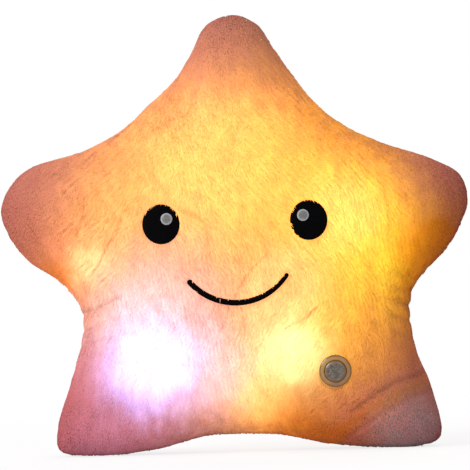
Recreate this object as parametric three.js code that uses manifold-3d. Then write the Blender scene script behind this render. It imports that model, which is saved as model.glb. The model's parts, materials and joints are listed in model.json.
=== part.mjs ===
// A plush star night light: two sewn star panels round a filled body that holds five small lamps, with
// a press button low on its front, and a zip at the back that leads to the battery pocket.
// Millimetres, +Z up, the face towards -Y, the floor under its two feet at z = 0.
import * as THREE from "three";
import { mergeVertices } from "three/addons/utils/BufferGeometryUtils.js";
import Module from "manifold-3d";

const wasm = await Module();
wasm.setup();

// The whole star.
const starWidth = 381;
const starHeight = 356;
const bodyThickness = 116;
const middleHeight = 160;
const footFlat = 0.5;
const footSole = 28;
const footSoleHeight = 8;
const seatGap = 0.3;
const overrun = 20;
const mergeTolerance = 1e-4;

// The outline, counterclockwise from the top point, seen from the front: how far each point lies across,
// as a share of half the width, and how far up, as a share of the height.
const outlineShares = [
  [0.009, 1.0],
  [-0.096, 0.978],
  [-0.175, 0.907],
  [-0.238, 0.857],
  [-0.364, 0.795],
  [-0.479, 0.742],
  [-0.636, 0.699],
  [-0.878, 0.66],
  [-0.962, 0.618],
  [-1.0, 0.565],
  [-0.967, 0.506],
  [-0.888, 0.449],
  [-0.768, 0.404],
  [-0.705, 0.368],
  [-0.668, 0.331],
  [-0.663, 0.289],
  [-0.684, 0.236],
  [-0.726, 0.163],
  [-0.783, 0.067],
  [-0.74, 0.007],
  [-0.594, 0.0],
  [-0.353, 0.011],
  [-0.154, 0.036],
  [0.009, 0.039],
  [0.177, 0.034],
  [0.371, 0.012],
  [0.613, 0.0],
  [0.765, 0.001],
  [0.86, 0.039],
  [0.823, 0.132],
  [0.765, 0.216],
  [0.744, 0.275],
  [0.739, 0.323],
  [0.76, 0.365],
  [0.818, 0.404],
  [0.902, 0.449],
  [0.965, 0.503],
  [1.0, 0.562],
  [0.97, 0.618],
  [0.865, 0.654],
  [0.644, 0.697],
  [0.492, 0.736],
  [0.371, 0.787],
  [0.261, 0.862],
  [0.193, 0.916],
  [0.114, 0.978],
];
const outlineSteps = 70;
const ringShares = [0.42, 0.67, 0.85, 0.96, 1];

// The crown: how the thickness falls from the middle to the seam, blunter down at the feet.
const crownPower = 3;
const sideFullness = 0.6;
const footFullness = 0.3;
const footBlendHeight = 30;

// The plush fabric of the panels, backing and pile together.
const fabricThickness = 4.5;
const seamGap = 0.3;

// The embroidered face, pressed into the pile.
const embroideryDepth = 1.2;
const embroideryThickness = 1;
const eyeSpacing = 120;
const eyeHeight = 186;
const eyeWidth = 30;
const eyeLength = 32;
const highlightDiameter = 10.5;
const highlightInward = 4.5;
const highlightUp = 4.1;
const mouthRadius = 50;
const mouthMiddleHeight = 171;
const mouthSweepDegrees = 104;
const mouthStroke = 4.5;
const faceSides = 20;
const smileSteps = 5;

// The press button, on an axis square to the fabric low on the front.
const buttonPlaceShares = [0.404, 0.18];
const buttonTravel = 1.5;
const boreDiameter = 18.2;
const stemWall = 1.1;
const stemPastNut = 0.2;
const bezelFlangeWidth = 2.8;
const bezelFlangeProud = 1;
const bezelFlangeSunk = 1.2;
const bezelChamfer = 0.8;
const capProud = 1.8;
const capCrown = 0.8;
const capShoulderShare = 0.75;
const capPlate = 2.8;
const capSkirt = 4;
const capWall = 1.4;
const capBossDiameter = 4.4;
const retainerWidth = 3;
const retainerThickness = 1.5;
const retainerDrop = 1.2;
const housingWall = 1;
const housingDepth = 10.3;
const switchBoardThickness = 1.2;
const switchBodySide = 6;
const switchBodyHeight = 4.5;
const plungerDiameter = 3.4;
const plungerLength = 4;
const plungerSpare = 0.6;
const buttonSpringDiameter = 11.2;
const buttonSpringWire = 0.7;
const buttonSpringTurns = 4;
const springSides = 5;
const springStepsPerTurn = 8;
const roundSides = 24;
const smallSides = 16;

// The zip, straight along X across the middle of the back.
const zipSlotLength = 120;
const slotRoom = 0.7;
const slotSteps = 6;
const tapeEnd = 4;
const tapeWidth = 12;
const tapeThickness = 0.8;
const tapeDrop = 0.6;
const toothPitch = 3;
const toothRoom = 0.4;
const toothReach = 1.1;
const toothSpine = 2.1;
const teethHeight = 1.6;
const sliderLength = 9;
const sliderWidth = 9.6;
const sliderInset = 5.5;
const sliderPlate = 1;
const sliderFlange = 0.8;
const sliderPost = 2.4;
const sliderPostLength = 3.4;
const sliderPostRoom = 0.8;
const teethPastPost = 1.3;
const stopLength = 1.6;
const stopWidth = 2;
const stopGap = 0.5;
const bottomStopInset = 6.3;
const bailLength = 6.5;
const bailWidth = 2;
const bailPost = 1.3;
const bailBridge = 0.7;
const pullBar = 0.8;
const pullLift = 1.5;
const pullRoom = 0.2;
const pullThickness = 0.8;
const pullLength = 24;
const pullArm = 1.6;
const pullArmRoom = 0.5;
const pullEye = 4.4;
const pullHole = 2.6;
const pullHoleInset = 3.1;

// The battery box with its sliding lid, three size AA cells and the lamp control.
const cellDiameter = 14.5;
const cellLength = 50.5;
const cellSpacing = 0.9;
const cellNubDiameter = 5.5;
const cellNubLength = 1;
const cellCount = 3;
const cellHeadroom = 1.1;
const cellSpringDiameter = 6;
const cellSpringWire = 0.8;
const cellSpringTurns = 3;
const cellSpringLength = 4.8;
const contactSide = 9;
const contactThickness = 0.5;
const boxWall = 1.5;
const boxSpare = 0.8;
const dividerThickness = 1.4;
const lidThickness = 1.2;
const lidLip = 0.8;
const lidLipReach = 1.5;
const gripCount = 4;
const gripPitch = 3;
const gripWidth = 1.2;
const gripHeight = 0.5;
const gripLength = 16;
const boardThickness = 1.2;
const controlBoardLength = 19;
const controlBoardTall = 32;
const controlSpare = 6;
const controlChipSide = 8;
const controlChipHeight = 1.6;

// The battery pocket, a fabric pouch sewn to the zip tapes.
const pocketWall = 1;
const pocketSpareLength = 14;
const pocketSpareHeight = 2;
const pocketBelowZip = 29;
const pocketDrop = 0.8;
const pocketFront = 16;
const pocketMouthRoom = 2.2;

// The lamps inside the filling and their leads.
const lampPlaceShares = {
  lower_left: [-0.378, 0.216],
  lower_right: [0.205, 0.222],
  left: [-0.661, 0.444],
  top: [-0.147, 0.68],
  right: [0.598, 0.531],
};
const lampBoardDiameter = 16;
const lampBoardDepth = 4;
const lampDomeDiameter = 8;
const lampDomeLength = 6;
const domeSteps = 4;
const leadDiameter = 1.8;
const leadRoom = 0.6;
const leadHole = 4;
const leadPitch = 7;
const leadExitInset = 1.2;
const leadEnd = 6;
const leadSides = 6;
const leadStepsPerPoint = 3;
const leadBendShare = 0.85;

// A place on the star, from its shares of the half width and of the height.
function onStar([acrossShare, upShare]) {
  return { across: (acrossShare * starWidth) / 2, height: upShare * starHeight };
}

// Sizes that follow from these.
const halfThickness = bodyThickness / 2;
const halfSeam = seamGap / 2;
const buttonPlace = onStar(buttonPlaceShares);
const lampPlaces = {};
for (const [name, shares] of Object.entries(lampPlaceShares)) lampPlaces[name] = onStar(shares);
const zipHeight = middleHeight;
const innerSkin = halfThickness - fabricThickness;
const tapeTop = innerSkin - tapeDrop;
const tapeBottom = tapeTop - tapeThickness;
const tapeLength = zipSlotLength + tapeEnd * 2;
const tapePart = sliderPost + sliderPostRoom * 2;
const zipSlotWidth = sliderWidth + slotRoom * 2;
const toothWidth = toothPitch / 2 - toothRoom;
const toothRoot = toothReach + toothRoom;
const teethBottom = tapeTop + seatGap;
const teethTop = teethBottom + teethHeight;
const sliderAtRest = sliderInset + sliderLength / 2 - zipSlotLength / 2;
const teethStart = sliderAtRest - sliderLength / 2 + sliderPostLength + teethPastPost;
const teethRun = zipSlotLength / 2 - bottomStopInset - stopLength - seatGap - teethStart;
const teethCount = Math.floor((teethRun - toothPitch / 2 - toothWidth) / toothPitch) + 1;
const teethEnd = teethStart + (teethCount - 0.5) * toothPitch + toothWidth;
const sliderTop = teethTop + seatGap + sliderPlate;
const sliderBottom = tapeBottom - seatGap - sliderPlate;
const pullAxisDepth = sliderTop + pullLift;
const bailOpening = pullLift + pullThickness / 2 + pullRoom;
const pullWidth = bailWidth + (pullArm + pullArmRoom) * 2;

// Depths along the button's axis, from the plush surface inwards.
const stemDiameter = boreDiameter + stemWall * 2;
const bezelDiameter = stemDiameter + bezelFlangeWidth * 2;
const retainerDiameter = stemDiameter + (seatGap + retainerWidth) * 2;
const retainerFrom = fabricThickness + retainerDrop;
const stemLength = retainerFrom + retainerThickness + stemPastNut;
const housingFrom = stemLength + seatGap;
const housingTo = housingFrom + housingDepth;
const switchBoardTo = housingTo - housingWall - seatGap;
const switchBoardFrom = switchBoardTo - switchBoardThickness;
const switchBodyTo = switchBoardFrom - seatGap;
const switchBodyFrom = switchBodyTo - switchBodyHeight;
const plungerFrom = switchBodyFrom - buttonTravel - plungerSpare;
const plungerTo = plungerFrom + plungerLength;
const capBossTo = plungerFrom - seatGap;
const capUnderside = capPlate - capProud;

// The battery box and its pocket, which hangs inside the zip.
const cellPitch = cellDiameter + cellSpacing;
const cellFrom = seatGap + cellSpringLength + seatGap;
const bayLength = cellFrom + cellLength + seatGap + contactThickness + seatGap;
const lidGroove = lidThickness + seatGap * 2;
const boxLength = boxWall * 2 + bayLength + dividerThickness + controlBoardLength + controlSpare;
const boxTall = boxWall * 2 + cellCount * cellPitch + boxSpare;
const boxDepth = boxWall + seatGap + cellDiameter + cellHeadroom + lidGroove + lidLip;
const pocketWidth = boxLength + pocketSpareLength + pocketWall * 2;
const pocketTall = boxTall + pocketSpareHeight + pocketWall * 2;
const pocketTop = tapeBottom - pocketDrop;
const pocketMouthWidth = sliderWidth + pocketMouthRoom * 2;
const pocketLow = zipHeight - pocketBelowZip;
const pocketHigh = pocketLow + pocketTall;
const boxLow = pocketLow + pocketWall + seatGap;
const boxHigh = boxLow + boxTall;
const boxMiddle = (boxLow + boxHigh) / 2;
const boxFront = pocketFront + pocketWall + seatGap;
const boxBack = boxFront + boxDepth;
const boxLeft = -pocketWidth / 2 + pocketWall + seatGap;
const boxRight = boxLeft + boxLength;
const bayTo = boxLeft + boxWall + bayLength;
const controlFrom = bayTo + dividerThickness + seatGap;
const controlMiddle = controlFrom + controlBoardLength / 2;
const controlLow = boxHigh - boxWall - seatGap - controlBoardTall;
const boardFront = boxFront + boxWall + seatGap;
const boardBack = boardFront + boardThickness;
const leadRadius = leadDiameter / 2;
const leadDepth = lampBoardDepth - seatGap - leadRadius;
const leadExitHeight = boxLow + boxWall + leadHole / 2 + leadExitInset;
const lampLeadExit = controlMiddle - leadPitch / 2;
const switchLeadExit = controlMiddle + leadPitch / 2;

// A closed three.js geometry as a solid that can be joined and cut.
function solidOf(geometry) {
  const bare = geometry.clone();
  bare.deleteAttribute("normal");
  bare.deleteAttribute("uv");
  const merged = mergeVertices(bare, mergeTolerance);
  const corners = merged.index.array;
  const kept = [];
  for (let i = 0; i < corners.length; i += 3) {
    const [a, b, c] = [corners[i], corners[i + 1], corners[i + 2]];
    if (a !== b && b !== c && c !== a) kept.push(a, b, c);
  }
  return new wasm.Manifold(
    new wasm.Mesh({
      numProp: 3,
      vertProperties: merged.attributes.position.array,
      triVerts: new Uint32Array(kept),
    }),
  );
}

function geometryOf(solid) {
  const mesh = solid.getMesh();
  const geometry = new THREE.BufferGeometry();
  geometry.setAttribute("position", new THREE.BufferAttribute(new Float32Array(mesh.vertProperties), 3));
  geometry.setIndex(new THREE.BufferAttribute(new Uint32Array(mesh.triVerts), 1));
  geometry.computeVertexNormals();
  return geometry;
}

function join(first, ...others) {
  return others.reduce((whole, other) => whole.add(other), first);
}

function cut(first, ...tools) {
  return tools.reduce((whole, tool) => whole.subtract(tool), first);
}

// A block between two opposite corners.
function block([x0, y0, z0], [x1, y1, z1]) {
  const geometry = new THREE.BoxGeometry(x1 - x0, y1 - y0, z1 - z0);
  return solidOf(geometry.translate((x0 + x1) / 2, (y0 + y1) / 2, (z0 + z1) / 2));
}

// A profile of [radius, depth] points turned about the Y axis, depth running along +Y.
function turned(profile, sides) {
  const points = profile.map(([radius, depth]) => new THREE.Vector2(radius, depth));
  return solidOf(new THREE.LatheGeometry(points, sides));
}

function disc(radius, from, to, sides) {
  return turned([[0, from], [radius, from], [radius, to], [0, to]], sides);
}

function ring(inner, outer, from, to, sides) {
  return turned([[inner, from], [outer, from], [outer, to], [inner, to], [inner, from]], sides);
}

// A flat shape drawn in x and z, given a thickness along +Y from the place `from`.
function plate(shape, from, thickness) {
  const geometry = new THREE.ExtrudeGeometry(shape, { depth: thickness, bevelEnabled: false });
  return solidOf(geometry.rotateX(Math.PI / 2).translate(0, from + thickness, 0));
}

// A round tube of the given number of sides along a curve.
function tube(curve, radius, sides, steps) {
  const corners = [];
  for (let i = 0; i < sides; i++) {
    const angle = (i / sides) * Math.PI * 2;
    corners.push(new THREE.Vector2(radius * Math.cos(angle), radius * Math.sin(angle)));
  }
  const options = { steps, bevelEnabled: false, extrudePath: curve };
  return solidOf(new THREE.ExtrudeGeometry(new THREE.Shape(corners), options));
}

// A helix about the X axis.
class Helix extends THREE.Curve {
  constructor(radius, length, turns) {
    super();
    Object.assign(this, { radius, length, turns });
  }

  getPoint(t) {
    const angle = t * this.turns * Math.PI * 2;
    return new THREE.Vector3(t * this.length, this.radius * Math.cos(angle), this.radius * Math.sin(angle));
  }
}

function coil(diameter, wire, length, turns) {
  const helix = new Helix((diameter - wire) / 2, length - wire, turns);
  return tube(helix, wire / 2, springSides, turns * springStepsPerTurn);
}

// The star's outline at the seam, x across and y for the height above the floor.
const middle = new THREE.Vector2(0, middleHeight - footFlat);
const outline = new THREE.CatmullRomCurve3(
  outlineShares.map(
    ([across, up]) => new THREE.Vector3((across * starWidth) / 2, up * starHeight - footFlat, 0),
  ),
  true,
)
  .getPoints(outlineSteps)
  .slice(0, outlineSteps)
  .map((point) => new THREE.Vector2(point.x, point.y));

// The outline moved in by an offset, along the line from each point to the middle.
function outlineAt(offset) {
  return outline.map((point, i) => {
    const before = outline[(i + outlineSteps - 1) % outlineSteps];
    const after = outline[(i + 1) % outlineSteps];
    const along = after.clone().sub(before).normalize();
    const outward = new THREE.Vector2(along.y, -along.x);
    const spoke = point.clone().sub(middle);
    const reach = spoke.length();
    const lean = outward.dot(spoke) / reach;
    return spoke.multiplyScalar(1 - offset / (lean * reach)).add(middle);
  });
}

function fullnessAt(height) {
  const atFoot = 1 - THREE.MathUtils.smoothstep(height, 0, footBlendHeight);
  return THREE.MathUtils.lerp(sideFullness, footFullness, atFoot);
}

// Half the width of the flattened sole where the outline comes down to the floor, none elsewhere.
function soleAt(height, offset) {
  const atFloor = 1 - THREE.MathUtils.smoothstep(height, 0, footSoleHeight);
  return Math.max((footSole / 2 - offset) * atFloor, halfSeam);
}

// The depth of the crown from the seam plane, at a share of the way from the middle to the outline.
function crown(share, fullness, offset) {
  return (halfThickness - offset) * (1 - share ** crownPower) ** fullness;
}

// The depth of the plush surface over a place in the star.
function depthAt(across, height) {
  const spoke = new THREE.Vector2(across, height).sub(middle);
  for (let i = 0; i < outlineSteps; i++) {
    const from = outline[i].clone().sub(middle);
    const to = outline[(i + 1) % outlineSteps].clone().sub(middle);
    const turn = from.cross(to);
    const alongFrom = spoke.cross(to) / turn;
    const alongTo = from.cross(spoke) / turn;
    if (alongFrom >= 0 && alongTo >= 0) {
      const share = alongFrom + alongTo;
      const edge = THREE.MathUtils.lerp(outline[i].y, outline[(i + 1) % outlineSteps].y, alongTo / share);
      return crown(share, fullnessAt(edge), 0);
    }
  }
  return 0;
}

// Half of the body on one side of the seam plane, -1 for the front and +1 for the back, all its faces
// moved in by an offset. As a tool its flat side is carried on past the seam plane.
function halfBody(side, offset, past = 0) {
  const rim = outlineAt(offset);
  const corners = [];
  const faces = [];
  const add = (x, depth, z) => corners.push(x, side * depth, z);
  const face = (a, b, c) => (side < 0 ? faces.push(a, b, c) : faces.push(a, c, b));
  const band = (inner, outer) => {
    for (let i = 0; i < outlineSteps; i++) {
      const next = (i + 1) % outlineSteps;
      face(inner + i, outer + i, outer + next);
      face(inner + i, outer + next, inner + next);
    }
  };
  add(middle.x, halfThickness - offset, middle.y);
  ringShares.forEach((share) => {
    rim.forEach((point, i) => {
      const depth = crown(share, fullnessAt(outline[i].y), offset);
      const place = point.clone().sub(middle).multiplyScalar(share).add(middle);
      add(place.x, Math.max(depth, soleAt(outline[i].y, offset)), place.y);
    });
  });
  const seamDepth = past > 0 ? -past : halfSeam;
  rim.forEach((point) => add(point.x, seamDepth, point.y));
  for (let i = 0; i < outlineSteps; i++) face(0, 1 + i, 1 + ((i + 1) % outlineSteps));
  ringShares.forEach((_, k) => band(1 + k * outlineSteps, 1 + (k + 1) * outlineSteps));
  const last = 1 + ringShares.length * outlineSteps;
  add(middle.x, seamDepth, middle.y);
  const base = last + outlineSteps;
  for (let i = 0; i < outlineSteps; i++) face(base, last + ((i + 1) % outlineSteps), last + i);
  const geometry = new THREE.BufferGeometry();
  geometry.setAttribute("position", new THREE.Float32BufferAttribute(corners, 3));
  geometry.setIndex(faces);
  return solidOf(geometry);
}

const floorCut = block([-starWidth, -starWidth, -starHeight], [starWidth, starWidth, 0]);

// A drawn face shape: the ellipse of an eye, or the curved stroke of the mouth.
function ellipse(across, height, width, length, room = 0) {
  const shape = new THREE.Shape();
  shape.absellipse(across, height, width / 2 + room, length / 2 + room, 0, Math.PI * 2);
  return new THREE.Shape(shape.getPoints(faceSides / 2).slice(0, -1));
}

function smile(room = 0) {
  const half = THREE.MathUtils.degToRad(mouthSweepDegrees / 2);
  const down = -Math.PI / 2;
  const stroke = mouthStroke / 2 + room;
  const end = (angle) => [mouthRadius * Math.cos(angle), mouthMiddleHeight + mouthRadius * Math.sin(angle)];
  const shape = new THREE.Shape();
  const [rightX, rightZ] = end(down + half);
  const [leftX, leftZ] = end(down - half);
  shape.absarc(0, mouthMiddleHeight, mouthRadius + stroke, down - half, down + half, false);
  shape.absarc(rightX, rightZ, stroke, down + half, down + half + Math.PI, false);
  shape.absarc(0, mouthMiddleHeight, mouthRadius - stroke, down + half, down - half, true);
  shape.absarc(leftX, leftZ, stroke, down - half + Math.PI, down - half + Math.PI * 2, false);
  return new THREE.Shape(shape.getPoints(smileSteps).slice(0, -1));
}

// The column through the front of the body under a face shape.
function faceColumn(shape) {
  return plate(shape, -halfThickness - overrun, halfThickness + overrun);
}

function embroidery(column) {
  const face = halfBody(-1, embroideryDepth).intersect(column);
  return cut(face, halfBody(-1, embroideryDepth + embroideryThickness, overrun));
}

// The press button's own frame: its depth runs along +Y, into the body, square to the fabric.
function buttonFrame() {
  const step = fabricThickness;
  const { across, height } = buttonPlace;
  const here = depthAt(across, height);
  const depthOff = (x, z) => depthAt(across + x, height + z);
  const slopeX = (depthOff(step, 0) - depthOff(-step, 0)) / 2;
  const slopeZ = (depthOff(0, step) - depthOff(0, -step)) / 2;
  const outward = new THREE.Vector3(-slopeX, -step, -slopeZ).normalize();
  const group = new THREE.Group();
  group.position.set(across, -here, height);
  group.quaternion.setFromUnitVectors(new THREE.Vector3(0, -1, 0), outward);
  group.updateMatrixWorld(true);
  return group;
}

const buttonGroup = buttonFrame();

function inButtonFrame(solid) {
  return solidOf(geometryOf(solid).applyMatrix4(buttonGroup.matrixWorld));
}

function buttonPoint(depth) {
  return new THREE.Vector3(0, depth, 0).applyMatrix4(buttonGroup.matrixWorld);
}

function buttonBezel() {
  const outer = bezelDiameter / 2;
  return turned(
    [
      [boreDiameter / 2, -bezelFlangeProud],
      [outer - bezelChamfer, -bezelFlangeProud],
      [outer, bezelChamfer - bezelFlangeProud],
      [outer, bezelFlangeSunk],
      [stemDiameter / 2, bezelFlangeSunk],
      [stemDiameter / 2, stemLength],
      [boreDiameter / 2, stemLength],
      [boreDiameter / 2, -bezelFlangeProud],
    ],
    roundSides,
  );
}

function buttonCap() {
  const outer = boreDiameter / 2 - seatGap;
  const boss = capBossDiameter / 2;
  return turned(
    [
      [0, -capProud - capCrown],
      [outer / 2, -capProud - capCrown * capShoulderShare],
      [outer, -capProud],
      [outer, capSkirt],
      [outer - capWall, capSkirt],
      [outer - capWall, capUnderside],
      [boss, capUnderside],
      [boss, capBossTo],
      [0, capBossTo],
    ],
    roundSides,
  );
}

function buttonHousing() {
  const outer = stemDiameter / 2;
  const inner = outer - housingWall;
  return turned(
    [
      [leadHole / 2, housingTo - housingWall],
      [inner, housingTo - housingWall],
      [inner, housingFrom],
      [outer, housingFrom],
      [outer, housingTo],
      [leadHole / 2, housingTo],
      [leadHole / 2, housingTo - housingWall],
    ],
    roundSides,
  );
}

function switchBody() {
  const half = switchBodySide / 2;
  const hole = plungerDiameter / 2 + seatGap;
  const holeTo = plungerTo + buttonTravel + seatGap;
  return cut(
    block([-half, switchBodyFrom, -half], [half, switchBodyTo, half]),
    disc(hole, switchBodyFrom - overrun, holeTo, smallSides),
  );
}

function buttonSpring() {
  const from = capUnderside + seatGap;
  const length = switchBoardFrom - seatGap - from;
  const made = coil(buttonSpringDiameter, buttonSpringWire, length, buttonSpringTurns);
  return solidOf(geometryOf(made).rotateZ(Math.PI / 2).translate(0, from + buttonSpringWire / 2, 0));
}

// What the button and its housing take out of the panel and the filling.
function buttonSeat() {
  const nutRadius = retainerDiameter / 2 + seatGap;
  return join(
    disc(stemDiameter / 2 + seatGap, -overrun, stemLength, smallSides),
    disc(bezelDiameter / 2 + seatGap, -overrun, bezelFlangeSunk + seatGap, roundSides),
    disc(nutRadius, retainerFrom - seatGap, retainerFrom + retainerThickness, smallSides),
  );
}

function buttonPocket() {
  return join(
    disc(retainerDiameter / 2 + seatGap, 0, retainerFrom + retainerThickness + seatGap, smallSides),
    disc(stemDiameter / 2 + seatGap, 0, housingTo + seatGap, smallSides),
  );
}

function batteryPocket() {
  const half = pocketWidth / 2;
  return cut(
    block([-half, pocketFront, pocketLow], [half, pocketTop, pocketHigh]),
    block(
      [-half + pocketWall, pocketFront + pocketWall, pocketLow + pocketWall],
      [half - pocketWall, pocketTop - pocketWall, pocketHigh - pocketWall],
    ),
    block(
      [-half - overrun, pocketTop - pocketWall - seatGap, zipHeight - pocketMouthWidth / 2],
      [half + overrun, pocketTop + overrun, zipHeight + pocketMouthWidth / 2],
    ),
    leadHoleAt(lampLeadExit),
    leadHoleAt(switchLeadExit),
  );
}

function leadHoleAt(across) {
  const hole = disc(leadHole / 2, 0, boxFront + boxWall + seatGap, smallSides);
  return hole.translate([across, 0, leadExitHeight]);
}

function batteryBox() {
  const grooveFrom = boxBack - lidLip - lidGroove;
  const inside = [boxLeft + boxWall, boxFront + boxWall, boxLow + boxWall];
  const grooveSide = boxWall / 2;
  const opening = boxWall / 2 + lidLipReach;
  return cut(
    block([boxLeft, boxFront, boxLow], [boxRight, boxBack, boxHigh]),
    block(inside, [bayTo, boxBack - lidLip - seatGap, boxHigh - boxWall]),
    block(
      [bayTo + dividerThickness, inside[1], inside[2]],
      [boxRight - boxWall, boxBack - lidLip - seatGap, boxHigh - boxWall],
    ),
    block(
      [boxLeft + grooveSide, grooveFrom, boxLow + grooveSide],
      [boxRight + overrun, boxBack - lidLip, boxHigh - grooveSide],
    ),
    block(
      [boxLeft + opening, grooveFrom, boxLow + opening],
      [boxRight + overrun, boxBack + overrun, boxHigh - opening],
    ),
    leadHoleAt(lampLeadExit),
    leadHoleAt(switchLeadExit),
  );
}

function batteryLid() {
  const from = boxBack - lidLip - seatGap - lidThickness;
  const side = boxWall / 2 + seatGap;
  const grips = [];
  for (let i = 0; i < gripCount; i++) {
    const at = boxRight - boxWall - gripPitch * (i + 1);
    grips.push(
      block(
        [at - gripWidth / 2, from, boxMiddle - gripLength / 2],
        [at + gripWidth / 2, from + lidThickness + gripHeight, boxMiddle + gripLength / 2],
      ),
    );
  }
  return join(
    block([boxLeft + side, from, boxLow + side], [boxRight, from + lidThickness, boxHigh - side]),
    ...grips,
  );
}

// A cell, its contact spring and its contact plate lie in line along X; every other cell is turned round.
function cellLine(index) {
  const height = boxMiddle + (index - (cellCount - 1) / 2) * cellPitch;
  const depth = boxFront + boxWall + seatGap + cellDiameter / 2;
  const turnedRound = index % 2 === 1;
  const group = new THREE.Group();
  group.position.set(turnedRound ? bayTo : boxLeft + boxWall, depth, height);
  group.rotation.z = turnedRound ? Math.PI : 0;
  return group;
}

function cell() {
  const nub = cellNubDiameter / 2;
  const radius = cellDiameter / 2;
  const shoulder = cellLength - cellNubLength;
  const upright = turned(
    [
      [0, 0],
      [radius, 0],
      [radius, shoulder],
      [nub, shoulder],
      [nub, cellLength],
      [0, cellLength],
    ],
    smallSides,
  );
  return solidOf(geometryOf(upright).rotateZ(-Math.PI / 2).translate(cellFrom, 0, 0));
}

function cellSpring() {
  const made = coil(cellSpringDiameter, cellSpringWire, cellSpringLength, cellSpringTurns);
  return made.translate([seatGap + cellSpringWire / 2, 0, 0]);
}

function cellContact() {
  const half = contactSide / 2;
  const from = cellFrom + cellLength + seatGap;
  return block([from, -half, -half], [from + contactThickness, half, half]);
}

function controlBoard() {
  return block(
    [controlFrom, boardFront, controlLow],
    [controlFrom + controlBoardLength, boardBack, controlLow + controlBoardTall],
  );
}

function controlChip() {
  const from = boardBack + seatGap;
  const half = controlChipSide / 2;
  return block(
    [controlMiddle - half, from, boxMiddle - half],
    [controlMiddle + half, from + controlChipHeight, boxMiddle + half],
  );
}

// The zip.
function zipTape(side) {
  const near = zipHeight + (side * tapePart) / 2;
  const far = near + side * tapeWidth;
  return block(
    [-tapeLength / 2, tapeBottom, Math.min(near, far)],
    [tapeLength / 2, tapeTop, Math.max(near, far)],
  );
}

function zipTeeth(side) {
  const spine = (x, z) => new THREE.Vector2(x, zipHeight + side * z);
  const from = teethStart + (side > 0 ? 0 : toothPitch / 2);
  const corners = [];
  for (let i = 0; i < teethCount; i++) {
    const x = from + i * toothPitch;
    corners.push(spine(x, toothRoot), spine(x, -toothReach));
    corners.push(spine(x + toothWidth, -toothReach), spine(x + toothWidth, toothRoot));
  }
  const last = corners[corners.length - 1].x;
  corners.push(spine(last, toothRoot + toothSpine), spine(from, toothRoot + toothSpine));
  return plate(new THREE.Shape(corners), teethBottom, teethHeight);
}

function zipSlider() {
  const from = sliderAtRest - sliderLength / 2;
  const to = sliderAtRest + sliderLength / 2;
  const half = sliderWidth / 2;
  const low = zipHeight - half;
  const high = zipHeight + half;
  const flangeTo = tapeTop + seatGap;
  const bailHalf = bailWidth / 2;
  const bailFrom = sliderAtRest - bailLength / 2;
  const bailTop = sliderTop + bailOpening + bailBridge;
  return join(
    block([from, sliderTop - sliderPlate, low], [to, sliderTop, high]),
    block([from, sliderBottom, low], [to, sliderBottom + sliderPlate, high]),
    block([from, flangeTo, low], [to, sliderTop, low + sliderFlange]),
    block([from, flangeTo, high - sliderFlange], [to, sliderTop, high]),
    block(
      [from, sliderBottom, zipHeight - sliderPost / 2],
      [from + sliderPostLength, sliderTop, zipHeight + sliderPost / 2],
    ),
    cut(
      block(
        [bailFrom, sliderTop - sliderPlate, zipHeight - bailHalf],
        [bailFrom + bailLength, bailTop, zipHeight + bailHalf],
      ),
      block(
        [bailFrom + bailPost, sliderTop, zipHeight - bailWidth],
        [bailFrom + bailLength - bailPost, sliderTop + bailOpening, zipHeight + bailWidth],
      ),
    ),
  );
}

function zipPull() {
  const from = pullAxisDepth - pullThickness / 2;
  const to = pullAxisDepth + pullThickness / 2;
  const left = sliderAtRest - pullBar / 2;
  const right = sliderAtRest + pullLength;
  const half = pullWidth / 2;
  const eyeHalf = half - pullArm;
  const hole = disc(pullHole / 2, from - overrun, to + overrun, smallSides);
  return cut(
    block([left, from, zipHeight - half], [right, to, zipHeight + half]),
    block(
      [sliderAtRest + pullBar / 2, from - overrun, zipHeight - eyeHalf],
      [sliderAtRest + pullEye, to + overrun, zipHeight + eyeHalf],
    ),
    hole.translate([right - pullHoleInset, 0, zipHeight]),
  );
}

function topStop(side) {
  const to = sliderAtRest - sliderLength / 2 - stopGap;
  const near = zipHeight + side * (tapePart / 2 + seatGap);
  const far = near + side * stopWidth;
  return block(
    [to - stopLength, teethBottom, Math.min(near, far)],
    [to, teethTop, Math.max(near, far)],
  );
}

function bottomStop() {
  const from = teethEnd + seatGap;
  const half = toothRoot + toothSpine;
  return block([from, teethBottom, zipHeight - half], [from + stopLength, teethTop, zipHeight + half]);
}

function slot(length, width, from, to) {
  const straight = (length - width) / 2;
  const shape = new THREE.Shape();
  shape.absarc(straight, zipHeight, width / 2, -Math.PI / 2, Math.PI / 2, false);
  shape.absarc(-straight, zipHeight, width / 2, Math.PI / 2, Math.PI * 1.5, false);
  return plate(new THREE.Shape(shape.getPoints(slotSteps).slice(0, -1)), from, to - from);
}

// The room that the zip and the pocket take at the back: the panel's inner face is pared flat over them.
function zipRelief() {
  const tapeHalf = tapePart / 2 + tapeWidth + seatGap;
  const tapeReach = tapeLength / 2 + seatGap;
  const pocketHalf = pocketWidth / 2 + seatGap;
  return join(
    block(
      [-tapeReach, pocketTop, zipHeight - tapeHalf],
      [tapeReach, tapeTop + seatGap, zipHeight + tapeHalf],
    ),
    block(
      [-pocketHalf, pocketFront - seatGap, pocketLow - seatGap],
      [pocketHalf, pocketTop + seatGap, pocketHigh + seatGap],
    ),
  );
}

// The lamps: a small board and a domed lens in a round pocket of the front filling.
function lampBoard() {
  return disc(lampBoardDiameter / 2, -lampBoardDepth - boardThickness, -lampBoardDepth, smallSides);
}

function lampDome() {
  const radius = lampDomeDiameter / 2;
  const from = -lampBoardDepth - boardThickness - seatGap;
  const straight = from - (lampDomeLength - radius);
  const profile = [[0, straight - radius]];
  for (let i = 1; i < domeSteps; i++) {
    const angle = (i / domeSteps) * (Math.PI / 2);
    profile.push([radius * Math.sin(angle), straight - radius * Math.cos(angle)]);
  }
  profile.push([radius, straight], [radius, from], [0, from]);
  return turned(profile, smallSides);
}

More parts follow.
